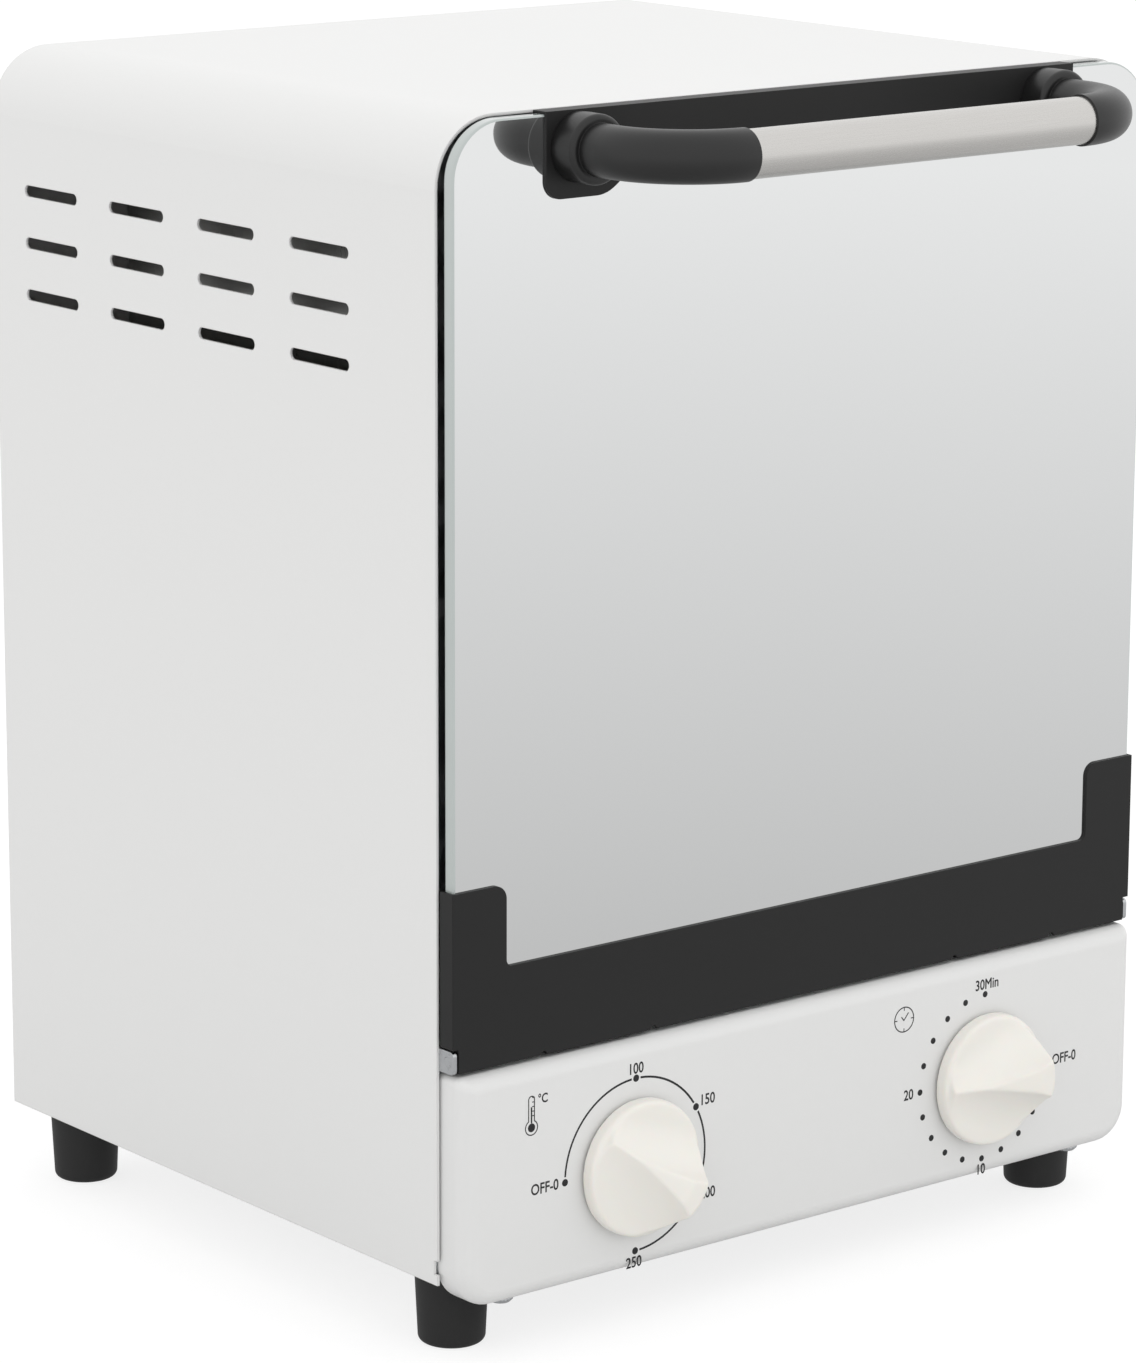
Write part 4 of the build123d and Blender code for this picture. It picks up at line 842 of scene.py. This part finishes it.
@dataclass
class CrossScrews:
    """Zinc-plated screws, each with the cross recess that takes the driver."""

    node: str
    body: str
    outward: tuple[int, int, int]
    recess_mm: float = 3.0
    slot_mm: float = 0.8
    depth_mm: float = 0.9
    sharp_angle: float = 35.0

    def build(self) -> None:
        """Cut the recess into a merged copy of every CAD screw."""
        screws = copy_node(self.node, f"{self.node}_blank")
        merge(screws)
        bpy.ops.mesh.separate(type="LOOSE")
        singles = list(bpy.context.selected_objects)
        for single in singles:
            self._cut(single)
        piece = join(singles, f"{self.node}_cross_recessed")
        smooth_below(piece, self.sharp_angle)
        dress(piece, ZINC_PLATE.build())
        hand_over(piece, self.body, "zinc_steel", self.node)

    def _cut(self, single: Object) -> None:
        """Cut one screw's cross with two bars at right angles.

        Args:
            single: the screw, with its place in its mesh.
        """
        outward = Vector(self.outward)
        low, high = extent(single)
        middle = (low + high) / 2
        face = middle + outward * max((corner - middle).dot(outward) for corner in (low, high))
        sides = [axis for axis in range(3) if not self.outward[axis]]
        for long_side, short_side in (sides, sides[::-1]):
            size = [2 * self.depth_mm] * 3
            size[long_side] = self.recess_mm
            size[short_side] = self.slot_mm
            deselect()
            bpy.ops.mesh.primitive_cube_add(
                size=1.0, location=face, scale=[side * MM for side in size]
            )
            bar = settle(bpy.context.object, "recess_bar")
            fit_modifier(single, "BOOLEAN", operation="DIFFERENCE", object=bar, solver="EXACT")
            bpy.data.objects.remove(bar)


# The print on the control panel


def around(x_mm: float, z_mm: float, radius_mm: float, angle: float) -> tuple[float, float]:
    """Find a place on a circle.

    Args:
        x_mm: the circle's centre across.
        z_mm: the centre's height.
        radius_mm: its radius.
        angle: the place, in degrees anticlockwise from the right.

    Returns:
        The place across and its height.
    """
    turn = math.radians(angle)
    return x_mm + radius_mm * math.cos(turn), z_mm + radius_mm * math.sin(turn)


@dataclass(frozen=True)
class ThermometerSign:
    """Sizes of the thermometer sign in millimetres; heights count from the bulb's middle."""

    x: float = -103.2
    z: float = 66.0
    line: float = 0.32
    filling: float = 1.25
    bulb: float = 2.1
    neck_angle: float = 28.0
    half_tube: float = 1.0
    tube_foot: float = 1.8
    tube_top: float = 8.0
    column: tuple[float, float] = (0.5, 4.6)
    column_z: float = 3.6
    ticks: int = 5
    tick: tuple[float, float] = (0.9, 0.26)
    tick_x: float = 0.65
    tick_z: float = 3.4
    tick_pitch: float = 1.3
    unit: str = "°C"
    unit_x: float = 4.0
    unit_z: float = 7.8
    unit_size: float = 3.7


@dataclass(frozen=True)
class ClockSign:
    """Sizes of the clock sign in millimetres; each hand has its middle, length and lean."""

    x: float = 34.2
    z: float = 71.2
    line: float = 0.34
    ring: float = 3.7
    tick: tuple[float, float] = (0.9, 0.3)
    tick_inset: float = 0.6
    hands: tuple[tuple[float, float, float, float], ...] = (
        (-0.55, 0.3, 1.6, -50.0),
        (0.75, 0.75, 2.9, 50.0),
    )


@dataclass
class PanelPrint:
    """Screen-printed dials: rings, dots, numbers, and the plain thermometer and clock signs.

    Angles are in degrees, anticlockwise from the right. Each number or word has its middle across
    and its middle's height, in millimetres.
    """

    dial_x_mm: float = 66.2
    dial_z_mm: float = 47.8
    ring_mm: float = 25.2
    line_mm: float = 0.6
    line_gap: float = 3.6
    stop_dot_mm: float = 1.05
    minute_dot_mm: float = 0.95
    dot_corners: int = 20
    arc_step: float = 4.0
    least_arc_steps: int = 6
    arc_seam_mm: float = 0.01
    ink_mm: float = 0.03
    letter_mm: float = 4.4
    letter_width: float = 0.86
    letter_weight_mm: float = 0.08
    letter_curves: int = 4
    stops: tuple[float, ...] = (180.0, 90.0, 30.0, -30.0, -90.0)
    temperatures: tuple[tuple[str, float, float], ...] = (
        ("100", -66.0, 75.9),
        ("150", -39.9, 62.0),
        ("200", -39.8, 34.3),
        ("250", -66.6, 19.4),
        ("OFF-0", -98.5, 48.0),
    )
    minute_dots: int = 16
    minute_angle: float = -18.0
    minutes: tuple[tuple[str, float, float], ...] = (
        ("30Min", 66.9, 76.1),
        ("20", 36.5, 48.0),
        ("10", 66.2, 19.4),
        ("OFF-0", 99.0, 47.6),
    )
    thermometer: ThermometerSign = ThermometerSign()
    clock: ClockSign = ClockSign()
    face_y: float = field(init=False, default=0.0)

    def build(self) -> None:
        """Print the temperature dial and the timer dial."""
        low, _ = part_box("control_panel")
        self.face_y = low.y
        ink = PRINT_INK.build()
        for name, marks in (
            ("temperature_dial_print", self._temperature_marks()),
            ("timer_dial_print", self._timer_marks()),
        ):
            piece = join(marks, name)
            merge(piece)
            dress(piece, ink)
            hand_over(piece, "cabinet", "white_paint")

    def _at(self, x_mm: float, z_mm: float) -> Point:
        """Turn a place on the panel's face into metres, in the middle of the ink."""
        return x_mm * MM, self.face_y - self.ink_mm * MM / 2, z_mm * MM

    def _thicken(self, flat: Object) -> Object:
        """Give a flat mark the thickness of the ink."""
        fit_modifier(flat, "SOLIDIFY", thickness=self.ink_mm * MM, offset=0.0)
        return flat

    def _dot(self, x_mm: float, z_mm: float, radius_mm: float) -> Object:
        """Print a round dot.

        Args:
            x_mm: its place across.
            z_mm: its height.
            radius_mm: its radius.

        Returns:
            The dot.
        """
        deselect()
        bpy.ops.mesh.primitive_circle_add(
            vertices=self.dot_corners,
            radius=radius_mm * MM,
            fill_type="NGON",
            location=self._at(x_mm, z_mm),
            rotation=UPRIGHT,
        )
        return self._thicken(settle(bpy.context.object, "dot"))

    def _arc(
        self, x_mm: float, z_mm: float, radius_mm: float, start: float, end: float, line_mm: float
    ) -> Object:
        """Print an arc, spun from one short edge.

        Args:
            x_mm: its centre across.
            z_mm: its centre's height.
            radius_mm: its mean radius.
            start: where it starts, in degrees anticlockwise from the right.
            end: where it ends, in degrees.
            line_mm: its line's width.

        Returns:
            The arc.
        """
        deselect()
        centre = self._at(x_mm, z_mm)
        bpy.ops.mesh.primitive_plane_add(size=line_mm * MM, location=(0, 0, 0))
        arc = settle(bpy.context.object, "arc")
        choose(arc, "VERT", lambda vertex: vertex.co.y > 0)
        bpy.ops.mesh.delete(type="VERT")
        bpy.ops.object.mode_set(mode="OBJECT")
        direction = Vector((math.cos(math.radians(start)), 0, math.sin(math.radians(start))))
        for vertex in arc.data.vertices:
            vertex.co = Vector(centre) + direction * (radius_mm * MM + vertex.co.x)
        bpy.ops.object.mode_set(mode="EDIT")
        bpy.ops.mesh.select_all(action="SELECT")
        bpy.ops.mesh.spin(
            steps=max(self.least_arc_steps, int(abs(end - start) / self.arc_step)),
            angle=math.radians(end - start),
            center=centre,
            axis=(0, 1, 0),
        )
        merge(arc, self.arc_seam_mm)
        return self._thicken(arc)

    def _bar(
        self, x_mm: float, z_mm: float, width_mm: float, height_mm: float, turn: float = 0.0
    ) -> Object:
        """Print a straight bar.

        Args:
            x_mm: its middle across.
            z_mm: its middle's height.
            width_mm: its width.
            height_mm: its height.
            turn: how far it leans, in degrees anticlockwise.

        Returns:
            The bar.
        """
        deselect()
        bpy.ops.mesh.primitive_plane_add(
            size=1.0,
            location=self._at(x_mm, z_mm),
            rotation=(QUARTER_TURN, -math.radians(turn), 0),
        )
        bar = bpy.context.object
        bar.scale = (width_mm * MM, height_mm * MM, 1)
        return self._thicken(settle(bar, "bar"))

    def _words(
        self, text: str, x_mm: float, z_mm: float, size_mm: float | None = None
    ) -> Object:
        """Print generic numbers or words, centred on a place.

        Args:
            text: what they say.
            x_mm: their middle across.
            z_mm: their middle's height.
            size_mm: the font's size, or None for the dials' own.

        Returns:
            The words as a mesh.
        """
        deselect()
        bpy.ops.object.text_add(location=self._at(x_mm, z_mm), rotation=UPRIGHT)
        words = bpy.context.object
        words.data.body = text
        words.data.size = (size_mm or self.letter_mm) * MM
        words.data.align_x = "CENTER"
        words.data.align_y = "CENTER"
        words.data.resolution_u = self.letter_curves
        words.data.extrude = self.ink_mm * MM / 2
        words.data.bevel_depth = self.letter_weight_mm * MM
        words.data.bevel_resolution = 0
        # The bevel that thickens the strokes also deepens them, so the depth is pressed back
        depth_mm = self.ink_mm + 2 * self.letter_weight_mm
        words.scale = (self.letter_width, 1, self.ink_mm / depth_mm)
        words = settle(words, "words")
        low, high = extent(words)
        bpy.ops.transform.translate(value=Vector(self._at(x_mm, z_mm)) - (low + high) / 2)
        return settle(words, "words")

    def _temperature_marks(self) -> list[Object]:
        """Mark the temperature dial: an arc from OFF to 250 with a dot at each number.

        Returns:
            The dots, the arcs between them, the numbers and the sign's parts.
        """
        x, z, ring = -self.dial_x_mm, self.dial_z_mm, self.ring_mm
        dots = [self._dot(*around(x, z, ring, stop), self.stop_dot_mm) for stop in self.stops]
        arcs = [
            self._arc(x, z, ring, end + self.line_gap, start - self.line_gap, self.line_mm)
            for start, end in zip(self.stops, self.stops[1:])
        ]
        numbers = [self._words(*number) for number in self.temperatures]
        return dots + arcs + numbers + self._thermometer()

    def _thermometer(self) -> list[Object]:
        """Draw the thermometer sign: an outlined tube and bulb, a dot, ticks, and the unit.

        Returns:
            The sign's parts.
        """
        sign = self.thermometer
        x, z, top = sign.x, sign.z, sign.z + sign.tube_top
        wall_z = (z + top) / 2 + sign.tube_foot / 2
        wall = top - z - sign.tube_foot
        up, full_turn = 90.0, 360.0
        neck = (up + sign.neck_angle, up + full_turn - sign.neck_angle)
        outline = [
            self._dot(x, z, sign.filling),
            self._arc(x, z, sign.bulb, *neck, sign.line),
            self._arc(x, top, sign.half_tube, 0.0, 180.0, sign.line),
            self._bar(x - sign.half_tube, wall_z, sign.line, wall),
            self._bar(x + sign.half_tube, wall_z, sign.line, wall),
            self._bar(x, z + sign.column_z, *sign.column),
        ]
        ticks = [
            self._bar(x + sign.tick_x, z + sign.tick_z + sign.tick_pitch * step, *sign.tick)
            for step in range(sign.ticks)
        ]
        unit = self._words(sign.unit, x + sign.unit_x, z + sign.unit_z, sign.unit_size)
        return outline + ticks + [unit]

    def _timer_marks(self) -> list[Object]:
        """Mark the timer dial: dots all round from OFF to 30 minutes, and its numbers.

        Returns:
            The dots, the numbers and the sign's parts.
        """
        x, z, ring = self.dial_x_mm, self.dial_z_mm, self.ring_mm
        dots = [
            self._dot(*around(x, z, ring, self.minute_angle * step), self.minute_dot_mm)
            for step in range(self.minute_dots)
        ]
        numbers = [self._words(*number) for number in self.minutes]
        return dots + numbers + self._clock()

    def _clock(self) -> list[Object]:
        """Draw the clock sign: a ring, four ticks and two hands.

        Returns:
            The sign's parts.
        """
        sign = self.clock
        reach = sign.ring - sign.tick_inset
        ticks = [
            self._bar(*around(sign.x, sign.z, reach, angle), *sign.tick, angle)
            for angle in (0.0, 90.0, 180.0, 270.0)
        ]
        ring = self._arc(sign.x, sign.z, sign.ring, 0.0, 360.0, sign.line)
        hands = [
            self._bar(sign.x + across, sign.z + up, length, sign.line, lean)
            for across, up, length, lean in sign.hands
        ]
        return [ring] + ticks + hands


def dress_nodes() -> None:
    """Give every CAD node the finish of the real part."""
    for finish, names in NODE_FINISHES.items():
        material = finish.build()
        for name in names:
            dress(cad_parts[name], material)
            log.info("%s is %s", name, finish.name)


def main() -> None:
    """Build the studio, dress the CAD nodes and add the pieces."""
    logging.basicConfig(level=logging.INFO, format="%(message)s")
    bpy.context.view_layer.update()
    PhotoCamera().build()
    Studio().build()
    dress_nodes()
    DoorGlass().build()
    Knobs().build()
    CrossScrews("rear_screws", "cabinet", (0, 1, 0)).build()
    CrossScrews("panel_screws", "cabinet", (0, 0, -1)).build()
    CrossScrews("handle_screws", "door", (0, 1, 0)).build()
    PanelPrint().build()
    bpy.context.scene.view_settings.view_transform = "Standard"


if __name__ == "__main__":
    main()
